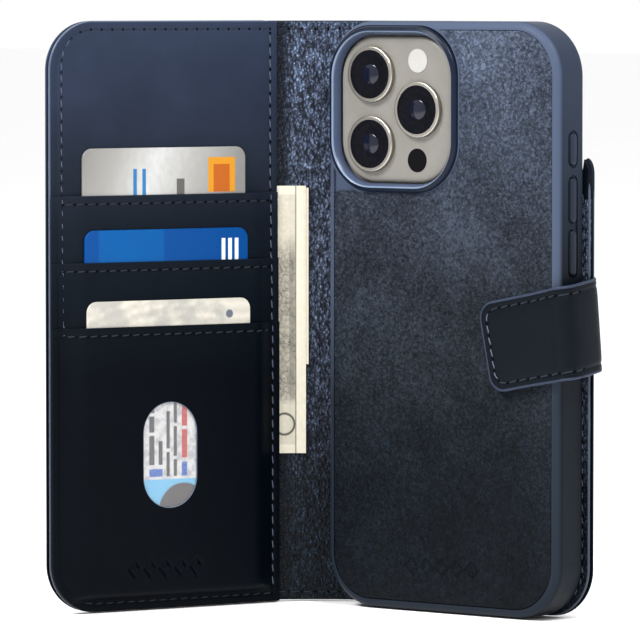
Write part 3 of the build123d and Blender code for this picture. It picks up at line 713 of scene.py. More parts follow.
def pocket_height(i, u, z, d):
    """Rise of pocket i over its sewn edges: raised over the cards, with a rolled mouth and a sewn row."""
    over = smoothstep(u, -75.4, -68.6) * (1 - smoothstep(u, -12.2, -5.2)) * smoothstep(z, 2.7, 5.4)
    mouth = POCKET_EDGES[i] - z
    lip = 0.05 * np.exp(-((mouth - 0.55) / 0.45) ** 2) + groove(mouth, STITCH_INSET)
    return (PAD_TOPS[i] - FLANGES[i]) * over + groove(d) * (mouth > 3.2) + lip


LOWEST = 2               # the pocket with the pressed mark and the ID window
MARK_X, MARK_Z = SLOT_X - 1.4, 12.0
for i, name in enumerate(("upper", "middle", "lower")):
    leaf = Outline(-FRONT_W, POCKET_RIGHT, 0, POCKET_EDGES[i], left=(COVER_R, 0))
    row = POCKET_EDGES[i] - STITCH_INSET
    fine_rows = np.arange(MARK_Z - 4, MARK_Z + 4, 0.3) if i == LOWEST else ()
    fine_cols = np.arange(MARK_X - 14.5, MARK_X + 14.5, 0.3) if i == LOWEST else ()
    u, z = leaf.grid((row, *fine_rows), fine_cols)
    d = leaf.inside(u, z)
    lift = pocket_height(i, u, z, d)
    if i == LOWEST:
        lift = lift + pressed_mark(u, z, MARK_X, MARK_Z, 4.6, 0.34)
    top = FLANGES[i] + lift - rounding(d, 0.24) + 0.02 * ripple(u, z, 36, 11 + i) * smoothstep(d, 1, 8)
    bottom = top - POCKET_SKIN + 2 * rounding(d, 0.2)
    pocket = closed_sheet(f"card_pocket_{name}_skin", FRONT.at(u, z, top), FRONT.at(u, z, bottom), LEATHER)
    ride_as(pocket, "front_cover", "smooth_leather", f"card_pocket_{name}")

    line_u = np.arange(-FRONT_W + STITCH_INSET + 1.6, POCKET_RIGHT - STITCH_INSET - 1.0, 0.5)
    line_z = np.full_like(line_u, row)
    line_w = FLANGES[i] + pocket_height(i, line_u, line_z, np.full_like(line_u, 9.0))
    ride_as(stitch_path(np.stack([line_u, line_z, line_w], -1), f"card_pocket_{name}_stitches", FRONT.at),
            "front_cover", "thread", f"card_pocket_{name}_thread")

# Painted shade: a dark leather strip laid beside the pockets, where the crease is in shade.
shade_strip = Outline(POCKET_RIGHT - 0.4, -0.3, 1.0, COVER_H - 1.0)
ride_as(plate("crease_painted_shade_strip", shade_strip, 0.9, FRONT_LINING_TOP + 0.12, 0.1, 0.2, CREASE_PAINTED_SHADE, gap=2.0),
        "front_cover", "smooth_leather")


def front_surface(u, z):
    """Height of the inner side of the front cover at its sewn border."""
    level = np.full_like(u, PANEL_TOP)
    for i in range(3):
        level = np.where(z < POCKET_EDGES[i], FLANGES[i], level)
    return level


def border_line(inset, right, left_inset=None):
    """(u, z) points along the top, left and bottom border of the front cover."""
    left_inset = inset if left_inset is None else left_inset
    left, low, high, r = -FRONT_W + left_inset, inset, COVER_H - inset, COVER_R - left_inset
    angles = np.radians(np.arange(0, 91, 5))
    pts = [(u, high) for u in np.arange(right, left + r, -1.0)]
    pts += [(left + r - r * math.sin(a), high - r + r * math.cos(a)) for a in angles]
    pts += [(left, z) for z in np.arange(high - r, low + r, -1.0)]
    pts += [(left + r - r * math.cos(a), low + r - r * math.sin(a)) for a in angles]
    pts += [(u, low) for u in np.arange(left + r, right, 1.0)]
    return np.array(pts)


def bead(name, place, line, radius, mat=EDGE_PAINT_AND_HIGHLIGHT, sides=10):
    """A rolled edge: a round bead along a line of (u, z, w) points."""
    line = np.asarray(line, float)
    t = np.gradient(line, axis=0)
    t /= np.linalg.norm(t, axis=1)[:, None]
    normal = np.stack([t[:, 1], -t[:, 0]], -1)
    normal /= np.linalg.norm(normal, axis=1)[:, None]
    ends = np.minimum(np.arange(len(line)), np.arange(len(line))[::-1])
    fade = np.minimum(1, ends / 3 + 0.15) * radius
    rows = []
    for a in np.linspace(0, 2 * math.pi, sides + 1)[:-1]:
        side = normal * (fade * math.cos(a))[:, None]
        rows.append(place(line[:, 0] + side[:, 0], line[:, 1] + side[:, 1], line[:, 2] + fade * math.sin(a)))
    faces = quads(len(line), sides, wrap=True)
    return new_object(name, np.stack(rows, 1).reshape(-1, 3), faces, mat)


def at_level(line, w):
    """(u, z, w) points of a flat (u, z) line."""
    return np.column_stack([line, np.broadcast_to(w, len(line))])


# Rolled edges in edge paint, whose pale tone is a painted highlight.
for label, inset, w, radius in (("outer", 0.42, -0.42, 0.46), ("inner", 0.30, 1.62, 0.42)):
    line = at_level(border_line(inset, -CREASE_REACH), w)
    ride_as(bead(f"front_{label}_edge_bead", FRONT.at, line, radius), "front_cover", "smooth_leather")

border = border_line(STITCH_INSET, POCKET_RIGHT - STITCH_INSET, LEFT_INSET)
sink = np.where(border[:, 1] > COVER_H - 9, 0.17, 0.1)
ride_as(stitch_path(at_level(border, front_surface(*border.T) - sink), "front_border_stitches", FRONT.at),
        "front_cover", "thread", "front_perimeter_thread")
side_z = np.arange(STITCH_INSET + 2, COVER_H - STITCH_INSET - 1, 0.5)
side_line = np.column_stack([np.full_like(side_z, POCKET_RIGHT - STITCH_INSET), side_z])
ride_as(stitch_path(at_level(side_line, front_surface(*side_line.T) - 0.1), "pocket_side_stitches", FRONT.at),
        "front_cover", "thread")


# ------------------------------------------------------------------ creases and spine
def lengths_of(path):
    """Distance along a path up to each of its points."""
    return np.concatenate([[0], np.cumsum(np.linalg.norm(np.diff(path, axis=0), axis=1))])


class Bend:
    """A smooth bend of the leather over one crease: s runs along it, z up, w outwards."""

    def __init__(self, p0, p1, p2, bodies, count=22):
        t = np.linspace(0, 1, count)[:, None]
        tangent = (1 - t) * (p1 - p0) + t * (p2 - p1)
        tangent /= np.linalg.norm(tangent, axis=1)[:, None]
        self.path = (1 - t) ** 2 * p0 + 2 * t * (1 - t) * p1 + t**2 * p2
        self.out = np.stack([tangent[:, 1], -tangent[:, 0]], -1)
        self.along, self.bodies = lengths_of(self.path), bodies

    def plan(self, s):
        """x, y and the outward direction at s."""
        columns = (*self.path.T, *self.out.T)
        return [np.interp(s, self.along, column) for column in columns]

    def at(self, s, z, w):
        x, y, out_x, out_y = self.plan(s)
        return np.stack([x + w * out_x, y + w * out_y, z], -1) * MM

    def blend(self, piece, slot):
        """Bakes the piece's placement into its mesh; it is not bent between the two bodies that meet at this
        crease, and slot is not used.
        """
        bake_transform(piece)


front_start = FRONT.origin - CREASE_REACH * FRONT.across
spine_middle = (FRONT.origin + BACK.origin) / 2
back_end = BACK.origin + CREASE_REACH * BACK.across
BENDS = {
    "front": Bend(front_start, FRONT.origin, spine_middle, ("front_cover", "spine")),
    "back": Bend(spine_middle, BACK.origin, back_end, ("spine", "back_cover")),
}
LINING_TOPS = {"front": (FRONT_LINING_TOP, LINING_TOP), "back": (LINING_TOP, LINING_TOP)}


def crease_sheet(name, bend, low, tops, margin, mat, r_low, r_high, row=0.0):
    """A sheet over a crease, whose top runs evenly between two heights."""
    z = margin + steps(COVER_H - 2 * margin, gap=2.0)
    d = np.minimum(z - margin, COVER_H - margin - z)
    high = np.interp(np.linspace(0, 1, len(bend.path)), (0, 1), tops)

    def face(w, drop):
        plan = bend.path[:, None] + bend.out[:, None] * (w[:, None] + drop[None])[..., None]
        heights = np.broadcast_to(z[None, :, None], (len(bend.path), len(z), 1))
        return (np.concatenate([plan, heights], -1) * MM).transpose(1, 0, 2)

    top = face(high, -rounding(d, r_high) + (groove(d, row) if row else 0))
    return closed_sheet(name, top, face(np.full_like(high, low), rounding(d, r_low)), mat)


for side, bend in BENDS.items():
    lining = crease_sheet(f"{side}_crease_lining", bend, LINING_LOW, LINING_TOPS[side], 0.35, PEBBLE,
                          0.25, 0.3, row=LINING_ROW)
    bend.blend(lining, "grained_leather")
    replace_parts(lining, "spine_lining", *(("spine_board",) if side == "front" else ()))
    skin = crease_sheet(f"{side}_crease_skin", bend, OUTER_LOW, (OUTER_TOP, OUTER_TOP), 0.0, OUTER_LEATHER,
                        0.55, 0.25)
    bend.blend(skin, "smooth_leather")
    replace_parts(skin, "spine_outer_leather")

for side, bend in BENDS.items():
    first = 2.2 if side == "front" else 0.0
    for label, z in (("low", STITCH_INSET), ("high", COVER_H - STITCH_INSET)):
        line = [(s, z, np.interp(s, (0, bend.along[-1]), LINING_TOPS[side]) - 0.1)
                for s in np.arange(first, bend.along[-1], 0.5)]
        stitches = stitch_path(line, f"{side}_crease_stitches_{label}", bend.at)
        bend.blend(stitches, "thread")
        if (side, label) == ("front", "low"):
            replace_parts(stitches, "spine_thread")


# ------------------------------------------------------------------ contents: cards and note
def card_material(name, draw, rough, metallic):
    mat, tree, bsdf = shader(name)
    place = xyz(tree, tree.nodes.new("ShaderNodeUVMap").outputs["UV"])
    v = coords(tree)
    colour = draw(tree, place["X"], place["Y"], v)
    surface(tree, bsdf, colour, mottle(tree, v, 1.2, 4, rough * 0.85, rough * 1.15), 0.12)
    bsdf.inputs["Metallic"].default_value = metallic
    bump(tree, bsdf, noise(tree, v, 1.0, 2), 0.05, 0.00001)
    return mat


def band(tree, value, low, high, soft=0.1):
    """1 between two values, else 0."""
    up = spread(tree, value, low - soft, low + soft, 0.0, 1.0)
    return times(tree, up, spread(tree, value, high - soft, high + soft, 1.0, 0.0))


def box(tree, x, y, x0, x1, y0, y1, soft=0.1):
    return times(tree, band(tree, x, x0, x1, soft), band(tree, y, y0, y1, soft))


def disc(tree, x, y, cx, cy, radius, soft):
    away = hypotenuse(tree, math_node(tree, "SUBTRACT", x, cx), math_node(tree, "SUBTRACT", y, cy))
    return spread(tree, away, radius - soft, radius + soft, 1.0, 0.0)


def blocks(tree, x, y, colour, boxes, soft=0.1):
    """Plain boxes of colour laid over a card: (x0, x1, y0, y1, ink)."""
    for *edges, ink in boxes:
        colour = mix(tree, box(tree, x, y, *edges, soft), colour, ink)
    return colour


CARD_FOOT = CARD_H - 30.0      # marks near a card's top run down to here
DARK_BLUE, GREY_MARK = (0.03, 0.14, 0.33), (0.10, 0.095, 0.09)
ORANGE, RED_BROWN = (0.55, 0.235, 0.02), (0.40, 0.10, 0.015)
BLUE_LOW, BLUE_HIGH, WHITE_BAR = (0.0, 0.041, 0.178), (0.0, 0.064, 0.225), (0.62, 0.66, 0.70)
BLACK_INK, RED_INK, BLUE_INK = (0.015, 0.015, 0.015), (0.28, 0.012, 0.010), (0.01, 0.06, 0.26)
SHARP = 0.004


def silver_card(tree, x, y, v):
    """Brushed silver with a soft sheen and plain blocks of colour; x and y are millimetres on the card."""
    slant = math_node(tree, "ADD", x, times(tree, math_node(tree, "SUBTRACT", CARD_H, y), 0.35))
    sheen = ramp(tree, spread(tree, slant, 0, CARD_W, 0, 1),
                 ((0.0, (0.18, 0.175, 0.165)), (0.22, (0.28, 0.275, 0.26)), (0.47, (0.50, 0.50, 0.495)),
                  (0.72, (0.34, 0.335, 0.32)), (1.0, (0.20, 0.195, 0.185))))
    fine = spread(tree, noise(tree, streaks(tree, 1.0), 0.5, 4), 0.35, 0.65, 0.0, 0.25)
    colour = mix(tree, fine, sheen, (0.26, 0.25, 0.24))
    colour = blocks(tree, x, y, colour, ((41.5, 50.5, CARD_H - 13.0, CARD_H - 3.0, ORANGE),
                                         (43.3, 48.7, CARD_H - 13.0, CARD_H - 5.0, RED_BROWN)), SHARP)
    return blocks(tree, x, y, colour, ((16.6, 17.8, CARD_FOOT, CARD_H - 6.0, DARK_BLUE),
                                       (19.6, 20.8, CARD_FOOT, CARD_H - 6.0, DARK_BLUE),
                                       (31.0, 33.6, CARD_FOOT, CARD_H - 9.0, GREY_MARK)))


def blue_card(tree, x, y, v):
    """Three upright fields of blue with white bars near one side."""
    colour = mix(tree, spread(tree, x, 4.4, 4.6, 0.0, 1.0), BLUE_LOW, BLUE_HIGH)
    colour = mix(tree, spread(tree, x, 25.9, 26.1, 0.0, 1.0), colour, BLUE_LOW)
    colour = mix(tree, mottle(tree, v, 0.15, 3, 0.0, 0.3), colour, (0.0, 0.048, 0.19))
    bars = [(left, left + 1.2, CARD_FOOT, CARD_H - 3.0, WHITE_BAR) for left in (45.2, 47.4, 49.6)]
    return blocks(tree, x, y, colour, bars)


CARD_ROWS = (            # (left, right, low, high, ink) of the bars that show in the ID window
    (20.2, 24.6, 33.2, 35.4, BLUE_INK),
    (20.2, 21.9, 36.6, 45.0, BLACK_INK), (20.2, 21.9, 46.0, 50.6, BLACK_INK),
    (20.2, 21.9, 51.6, 57.0, BLACK_INK),
    (23.3, 24.6, 36.6, 43.4, BLACK_INK),
    (25.9, 27.0, 33.2, 40.2, BLACK_INK), (25.9, 27.0, 41.2, 52.0, BLACK_INK),
    (28.3, 29.4, 33.2, 38.0, BLACK_INK), (28.3, 29.4, 39.0, 47.6, BLACK_INK),
    (28.3, 29.4, 48.6, 54.5, BLACK_INK),
    (31.0, 32.8, 33.2, 37.2, BLUE_INK), (31.0, 32.8, 38.4, 46.6, RED_INK), (31.0, 32.8, 47.6, 55.0, RED_INK),
)
PICTURE_BOX = (16.0, 44.0, 10.0, 32.4, (0.08, 0.27, 0.42))


def identity_card(tree, x, y, v):
    """Pale card: rows of plain bars beside a picture box, as seen through the window."""
    rings = node(tree, "ShaderNodeTexWave", wave_type="RINGS", Scale=0.10, Distortion=5.0, Vector=v)
    colour = mix(tree, rings.outputs["Fac"], (0.50, 0.475, 0.41), (0.42, 0.40, 0.35))
    clouds = spread(tree, noise(tree, v, 0.14, 4), 0.42, 0.6, 0.0, 1.0)
    colour = mix(tree, times(tree, clouds, 0.7), colour, (0.27, 0.265, 0.25))
    veins = spread(tree, noise(tree, v, 0.5, 5), 0.45, 0.62, 0.0, 1.0)
    marble = mix(tree, veins, (0.40, 0.39, 0.385), (0.25, 0.25, 0.26))
    colour = mix(tree, box(tree, x, y, 0.0, CARD_W, 4.0, 66.0, SHARP), colour, marble)
    colour = blocks(tree, x, y, colour, (*CARD_ROWS, PICTURE_BOX))
    colour = mix(tree, disc(tree, x, y, 31.5, 23.0, 8.2, 0.25), colour, (0.030, 0.022, 0.020))
    return mix(tree, disc(tree, x, y, 47.0, CARD_H - 4.5, 1.2, 0.15), colour, (0.10, 0.11, 0.14))


def uv_from(obj, u, z):
    """Place in millimetres on both faces of a sheet, for its printed pattern."""
    layer = obj.data.uv_layers.new(name="print")
    places = np.tile(np.stack([u.ravel(), z.ravel()], -1), (2, 1))
    loops = np.zeros(len(obj.data.loops), np.int32)
    obj.data.loops.foreach_get("vertex_index", loops)
    layer.data.foreach_set("uv", places[loops].astype(np.float32).ravel())


CARDS = (
    ("card_silver", "card_silver", "silver_bank_card", silver_card, 0.34, 0.25),
    ("card_blue", "card_blue", "blue_bank_card", blue_card, 0.3, 0.0),
    ("card_identity", "card_id", "identity_card", identity_card, 0.35, 0.0),
)
for i, (node_name, slot, name, draw, rough, metallic) in enumerate(CARDS):
    left, low = SLOT_X - CARD_W / 2, CARD_TOPS[i] - CARD_H
    corners = (CARD_R, CARD_R)
    outline = Outline(left, left + CARD_W, low, low + CARD_H, left=corners, right=corners)
    u, z = outline.grid(gap=3.0)
    edge = rounding(outline.inside(u, z), 0.12)
    base = SLOT_LOWS[i] + 0.07
    card = closed_sheet(name, FRONT.at(u, z, base + CARD_T - edge), FRONT.at(u, z, base + edge),
                        card_material(name, draw, rough, metallic))
    uv_from(card, u - left, z - low)
    ride_as(card, f"card_{i + 1}", slot, node_name)

NUMERAL_RING = (-6.6, 8.5)     # where a plain ring stands in for the note's numeral


def note_material():
    """Printed paper; x runs back from the free edge of the note, y up it."""
    mat, tree, bsdf = shader("printed_paper")
    uv = tree.nodes.new("ShaderNodeUVMap").outputs["UV"]
    place = xyz(tree, uv)
    x, y = place["X"], place["Y"]
    rings = node(tree, "ShaderNodeTexWave", wave_type="RINGS", rings_direction="SPHERICAL", Scale=0.9,
                 Distortion=6.0, Detail=2.0, Vector=uv).outputs["Fac"]
    grain = spread(tree, noise(tree, uv, 1.1, 3, 0.6), 0.36, 0.62, 0.68, 1.0)
    lines = times(tree, spread(tree, rings, 0.3, 0.7, 0.6, 1.0),
                  spread(tree, voronoi(tree, uv, 0.55), 0.03, 0.2, 1.0, 0.75))
    shade = times(tree, spread(tree, noise(tree, uv, 0.12, 3), 0.40, 0.55, 0.84, 1.0),
                  spread(tree, y, NOTE_H - 22.0, NOTE_H - 14.0, 1.0, 0.35),
                  spread(tree, y, 14.0, 17.0, 0.3, 1.0))
    border = times(tree, band(tree, x, -5.2, -3.3, 0.2), 0.8, times(tree, shade, 0.9))
    ink = math_node(tree, "MAXIMUM", times(tree, times(tree, grain, lines), shade), border)
    printed = times(tree, band(tree, x, -14.0, -3.1), band(tree, y, 2.5, NOTE_H - 2.5, 0.2))
    paper = mix(tree, spread(tree, noise(tree, coords(tree), 0.6, 5), 0.3, 0.7, 0, 1),
                (0.54, 0.505, 0.415), (0.49, 0.455, 0.37))
    colour = mix(tree, times(tree, printed, ink), paper, (0.020, 0.020, 0.018))
    colour = mix(tree, times(tree, band(tree, x, -3.3, -2.9, 0.06), 0.7), colour, (0.05, 0.05, 0.045))
    hollow = math_node(tree, "SUBTRACT", 1.0, disc(tree, x, y, *NUMERAL_RING, 2.75, 0.2))
    ring = times(tree, disc(tree, x, y, *NUMERAL_RING, 3.4, 0.2), hollow)
    colour = mix(tree, ring, colour, (0.055, 0.06, 0.05))
    surface(tree, bsdf, colour, 0.8, 0.2)
    bump(tree, bsdf, noise(tree, coords(tree), 1.5, 5), 0.3, 0.0001)
    return mat


NOTE = note_material()


def note_sheet(name, reach, z_low, z_high, level):
    """One leaf of the folded note: flat in the pocket, then bending with the lining over the crease."""
    s, z = np.meshgrid(np.linspace(-30.0, reach, 60), np.linspace(z_low, z_high, 50))
    flat = FRONT.origin[:, None, None] + (np.minimum(s, 0) - CREASE_REACH) * FRONT.across[:, None, None]
    bent = BENDS["front"].plan(np.clip(s, 0, None))
    both = zip((*flat, *FRONT.out), bent)
    x, y, out_x, out_y = (np.where(s < 0, straight, curved) for straight, curved in both)
    wave = 0.12 * np.sin(z * 0.11 + 1.0) * smoothstep(s, 1.0, reach)
    curl = level + 0.9 * smoothstep(s, 1.5, reach) ** 2 + wave

    def face(w):
        return np.stack([x + w * out_x, y + w * out_y, z], -1) * MM

    made = closed_sheet(name, face(curl + 0.09), face(curl - 0.03), NOTE)
    uv_from(made, s - reach, z - z_low)
    BENDS["front"].blend(made, "paper")
    return made


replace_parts(note_sheet("banknote_front", 11.4, NOTE_LOW, NOTE_LOW + NOTE_H, 1.55), "banknote")
note_sheet("banknote_back", 12.2, NOTE_LOW + 26, NOTE_LOW + NOTE_H - 0.6, 1.40)


# ------------------------------------------------------------------ back cover
NOTCH_LEFT, NOTCH_LOW, NOTCH_R = TRAY_X + 83.0 - 48.4, COVER_H - 49.8, 12.0


def back_pieces(label, low, high, r_low, r_high, margin, mat, slot, *nodes):
    """The back cover is two joined sheets round an open camera notch: full width below, narrow above."""
    right, joint = BACK_W - margin, NOTCH_LOW - margin
    corner = (COVER_R - margin, 0)
    parts = (("lower", Outline(CREASE_REACH, right, margin, joint, right=corner)),
             ("upper", Outline(CREASE_REACH, NOTCH_LEFT - margin, joint, COVER_H - margin)))
    for part, outline in parts:
        u, z = outline.grid(gap=2.2)
        d = Outline(-FAR, right, margin, COVER_H + FAR, right=corner).inside(u, z)
        notch = np.where(z < joint, np.where(u > NOTCH_LEFT, joint - z, FAR), NOTCH_LEFT - margin - u)
        d = np.minimum(np.minimum(d, np.maximum(notch, 0)), COVER_H - margin - z)
        piece = closed_sheet(f"back_{label}_{part}", BACK.at(u, z, high - rounding(d, r_high)),
                             BACK.at(u, z, low + rounding(d, r_low)), mat)
        ride_as(piece, "back_cover", slot, *(nodes if part == "lower" else ()))


HORN_TOP, HORN_R = 11.2, 4.5
HORN_ROWS = HORN_TOP * (1 - (1 - np.linspace(0, 1, 34)) ** 2)


def back_horn(name, low, high, margin, mat, slot):
    """Strip of the cover that rises beside the camera notch."""
    d = np.clip(NOTCH_R - HORN_ROWS, 0, NOTCH_R)
    left = BACK_W - 2.2 - NOTCH_R + np.sqrt(np.maximum(NOTCH_R**2 - d**2, 0))
    shoulder = np.clip(HORN_ROWS - (HORN_TOP - HORN_R), 0, HORN_R)
    right = BACK_W - margin - (HORN_R - np.sqrt(HORN_R**2 - shoulder**2)) * 0.55
    right = np.maximum(right, left + 0.4)
    across = np.array((0, 0.08, 0.2, 0.5, 0.8, 0.92, 1.0))
    u = left[:, None] + (right - left)[:, None] * across
    z = np.repeat((NOTCH_LOW - margin - 0.02 + HORN_ROWS)[:, None], len(across), 1)
    edge = rounding(np.minimum(u - left[:, None], right[:, None] - u), 0.3)
    horn = closed_sheet(name, BACK.at(u, z, high - edge), BACK.at(u, z, low + edge), mat)
    ride_as(horn, "back_cover", slot)


back_pieces("outer_skin", OUTER_LOW, OUTER_TOP, 0.5, 0.25, 0.0, OUTER_LEATHER, "smooth_leather",
            "back_outer_leather")
back_pieces("inner_lining", LINING_LOW, LINING_TOP, 0.2, 0.3, 0.3, PEBBLE, "grained_leather",
            "back_lining", "back_board")
back_horn("back_outer_horn", OUTER_LOW, OUTER_TOP, 0.0, OUTER_LEATHER, "smooth_leather")
back_horn("back_lining_horn", LINING_LOW, LINING_TOP, 0.3, STRAP_LEATHER, "grained_leather")


def back_line(inset, top):
    """(u, z) points along the bottom and right border of the back cover."""
    centre, r = BACK_W - COVER_R, COVER_R - inset
    pts = [(u, inset) for u in np.arange(CREASE_REACH, centre, 1.0)]
    pts += [(centre + r * math.sin(a), COVER_R - r * math.cos(a)) for a in np.radians(np.arange(0, 91, 5))]
    pts += [(BACK_W - inset, z) for z in np.arange(COVER_R, top, 1.0)]
    return np.array(pts)


# Rolled edges in edge paint, whose pale tone is a painted highlight.
for label, inset, w, radius in (("outer", 0.40, -0.45, 0.45), ("inner", 0.45, 1.25, 0.38)):
    line = at_level(back_line(inset, NOTCH_LOW + 5.5), w)
    ride_as(bead(f"back_{label}_edge_bead", BACK.at, line, radius), "back_cover", "smooth_leather")

sewn = back_line(STITCH_INSET, NOTCH_LOW + 2)
outer_row = OUTER_LOW + 0.12
ride_as(stitch_path(at_level(sewn, LINING_TOP - 0.1), "back_lining_stitches", BACK.at),
        "back_cover", "thread", "back_lining_thread")
ride_as(stitch_path(at_level(sewn, outer_row), "back_outer_stitches", BACK.at, out_sign=-1.0, lift=-0.22),
        "back_cover", "thread", "back_outer_thread")
border = at_level(border_line(STITCH_INSET, -CREASE_REACH), outer_row)
ride_as(stitch_path(border, "front_outer_stitches", FRONT.at, out_sign=-1.0, lift=-0.22),
        "front_cover", "thread", "front_outer_thread")


# ------------------------------------------------------------------ closure strap
STRAP_START = 56.0             # across the back cover, where the strap's length is counted from
STRAP_LEVEL = 15.9             # its middle, over the tray


def strap_path():
    """Plan of the strap from its start over the tray's side to its root."""
    pts = np.array(((84.5, STRAP_LEVEL), (89.9, 16.6), (90.4, 8.0), (89.6, 0.4), (83.0, 0.3)))
    flat = np.linspace((STRAP_START, STRAP_LEVEL), pts[0], 60)[:-1]
    for _ in range(5):
        near, far = pts[:-1] * 0.75 + pts[1:] * 0.25, pts[:-1] * 0.25 + pts[1:] * 0.75
        pts = np.concatenate([pts[:1], np.stack([near, far], 1).reshape(-1, 2), pts[-1:]])
    return np.concatenate([flat, pts])


strap_plan = strap_path()
strap_along = lengths_of(strap_plan)
strap_tangent = np.gradient(strap_plan, axis=0)
strap_tangent /= np.linalg.norm(strap_tangent, axis=1)[:, None]
strap_out = np.stack([-strap_tangent[:, 1], strap_tangent[:, 0]], -1)
RISE = math.tan(math.radians(STRAP_TILT))
HALF = STRAP_W / 2 / math.cos(math.radians(STRAP_TILT))
TIP_R = 5.0
TIP = STRAP_LEFT - STRAP_START
SPLIT = strap_along[-1] - 14.0  # the flap's sheets end here and the root's begin


def strap_place(s, v, w):
    """s runs along the strap from its start, v across it, w outwards."""
    x, y, out_x, out_y = (np.interp(s, strap_along, column) for column in (*strap_plan.T, *strap_out.T))
    lean = v * 0.085 * smoothstep(s, 20.0, 31.0)
    climb = STRAP_MID_Z + (STRAP_START - STRAP_MID_X) * RISE
    climb = climb + np.minimum(s, 33.0) * RISE + np.clip(s - 33.0, 0, 20) * 0.13
    return BACK.at(x + w * out_x - lean, climb + v, y + w * out_y)


def flap_blend(piece):
    """Bakes the piece's placement into its mesh; it is not bent at the tray's front edge, where the flap
    opens.
    """
    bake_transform(piece)


def root_blend(piece):
    """Bakes the piece's placement into its mesh; it is not bent where the strap leaves the back cover."""
    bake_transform(piece)


def strap_sheet(name, s_from, s_to, low, high, mat, margin=0.0, crowned=False):
    """One face of the strap; without s_from it starts with the rounded tip."""
    half = HALF - margin
    v = -half + steps(2 * half, gap=1.5)
    if s_from is None:
        start = TIP + margin - v * RISE + inset_of(v, -half, half, TIP_R, TIP_R)
    else:
        start = np.full_like(v, s_from)
    near = (0, 0.002, 0.006, 0.012, 0.02, 0.04, 0.06, 0.075, 0.085, 0.095, 0.12)
    t = steps(1.0, fine=near, gap=0.02, both=False)
    s = start[:, None] + (s_to - start)[:, None] * t
    v = np.repeat(v[:, None], len(t), 1)
    edge = half - np.abs(v)
    if s_from is None:
        from_tip = s - (TIP + margin) + v * RISE
        du, dz = TIP_R - from_tip, TIP_R - edge
        edge = np.where((du > 0) & (dz > 0), TIP_R - np.hypot(du, dz), np.minimum(edge, from_tip))
    edge = np.maximum(edge, 0)
    top = high - rounding(edge, 0.7)
    if crowned:
        top = top + groove(edge, depth=0.16) + 0.16 * smoothstep(edge, 0.0, 6.0)
    return closed_sheet(name, strap_place(s, v, top), strap_place(s, v, low + rounding(edge, 0.35)), mat)


flap_skin = strap_sheet("strap_flap_skin", None, SPLIT, -0.2, 1.0, STRAP_LEATHER, crowned=True)
flap_back = strap_sheet("strap_flap_back", None, SPLIT, -1.0, -0.22, PEBBLE, margin=0.35)
root_skin = strap_sheet("strap_root_skin", SPLIT, strap_along[-1], -0.2, 1.0, STRAP_LEATHER, crowned=True)
root_back = strap_sheet("strap_root_back", SPLIT, strap_along[-1], -1.0, -0.22, PEBBLE, margin=0.35)
flap_blend(flap_skin)
flap_blend(flap_back)
root_blend(root_skin)
root_blend(root_back)
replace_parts(flap_skin, "strap_flap_leather")
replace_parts(flap_back, "strap_flap_lining")
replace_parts(root_skin, "strap_side_band")


def round_the_tip(inset, radius, end, side_level, tip_level, degrees):
    """(s, v, w) points along one side of the strap, round its tip and back along the other side."""
    half, tip, r = HALF - inset, TIP + inset, radius
    angles = np.radians(np.arange(0, 91, degrees))
    pts = [(s, half, side_level) for s in np.arange(end, tip + r - half * RISE, -0.5)]
    corners = [(tip + r - r * math.sin(a), half - r + r * math.cos(a)) for a in angles]
    corners += [(tip, v) for v in np.arange(half - r, -half + r, -0.5)]
    corners += [(tip + r - r * math.cos(a), -half + r - r * math.sin(a)) for a in angles]
    pts += [(s - v * RISE, v, tip_level) for s, v in corners]
    return pts + [(s, -half, side_level) for s in np.arange(tip + r + half * RISE, end, 0.5)]


line = round_the_tip(STITCH_INSET, TIP_R - 1.6, 38.5, 1.0, 1.0, 10)
stitches = stitch_path(line, "strap_stitches", strap_place)
flap_blend(stitches)
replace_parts(stitches, "strap_thread")
# The strap's edge beads: edge paint whose pale tone is a painted highlight.
BEAD_INSET, BEAD_R, BEAD_LEVEL = 0.5, 0.5, 0.58
line = round_the_tip(BEAD_INSET, TIP_R - BEAD_INSET, 38.0, BEAD_LEVEL, 0.55, 6)
flap_blend(bead("strap_edge_bead", strap_place, line, BEAD_R, STRAP_EDGE_PAINT_AND_HIGHLIGHT))
for side, label in ((1, "top"), (-1, "bottom")):
    line = [(s, side * (HALF - BEAD_INSET), BEAD_LEVEL) for s in np.arange(36.0, strap_along[-1] - 1.0, 0.5)]
    root_blend(bead(f"strap_root_{label}_bead", strap_place, line, BEAD_R, STRAP_EDGE_PAINT_AND_HIGHLIGHT))


# ------------------------------------------------------------------ ID window
def boolean_cut(target, cutter):
    cut = target.modifiers.new("cut", "BOOLEAN")
    cut.object = cutter
    cut.operation = "DIFFERENCE"
    cut.solver = "EXACT"
    graph = bpy.context.evaluated_depsgraph_get()
    mesh = bpy.data.meshes.new_from_object(target.evaluated_get(graph))
    target.modifiers.clear()
    old = target.data
    target.data = mesh
    bpy.data.meshes.remove(old)
    bpy.data.objects.remove(cutter)


def solid_of(name, rings, mat, smooth=True):
    """A solid whose skin runs through a stack of rings of points, closed by its first and last ring."""
    verts = np.stack(rings)
    rows, count = verts.shape[:2]
    faces = quads(rows, count, wrap=True)
    faces += [tuple(range(count))[::-1], tuple(range((rows - 1) * count, rows * count))]
    return new_object(name, verts, faces, mat, smooth)


def pill(width, height, n=24):
    """Outline of an upright slot with round ends."""
    r, straight = width / 2, height / 2 - width / 2
    a = np.linspace(0, math.pi, n)
    up = np.stack([r * np.cos(a), straight + r * np.sin(a)], -1)
    return np.concatenate([up, -up])


def window_prism(name, trim, low, high, mat):
    """A prism with the outline of the ID window, a little smaller by the trim."""
    u, z = pill(WINDOW_W - trim, WINDOW_H - trim).T
    rings = [FRONT.at(WINDOW_X + u, WINDOW_Z + z, w) for w in (low, high)]
    return solid_of(name, rings, mat, smooth=False)


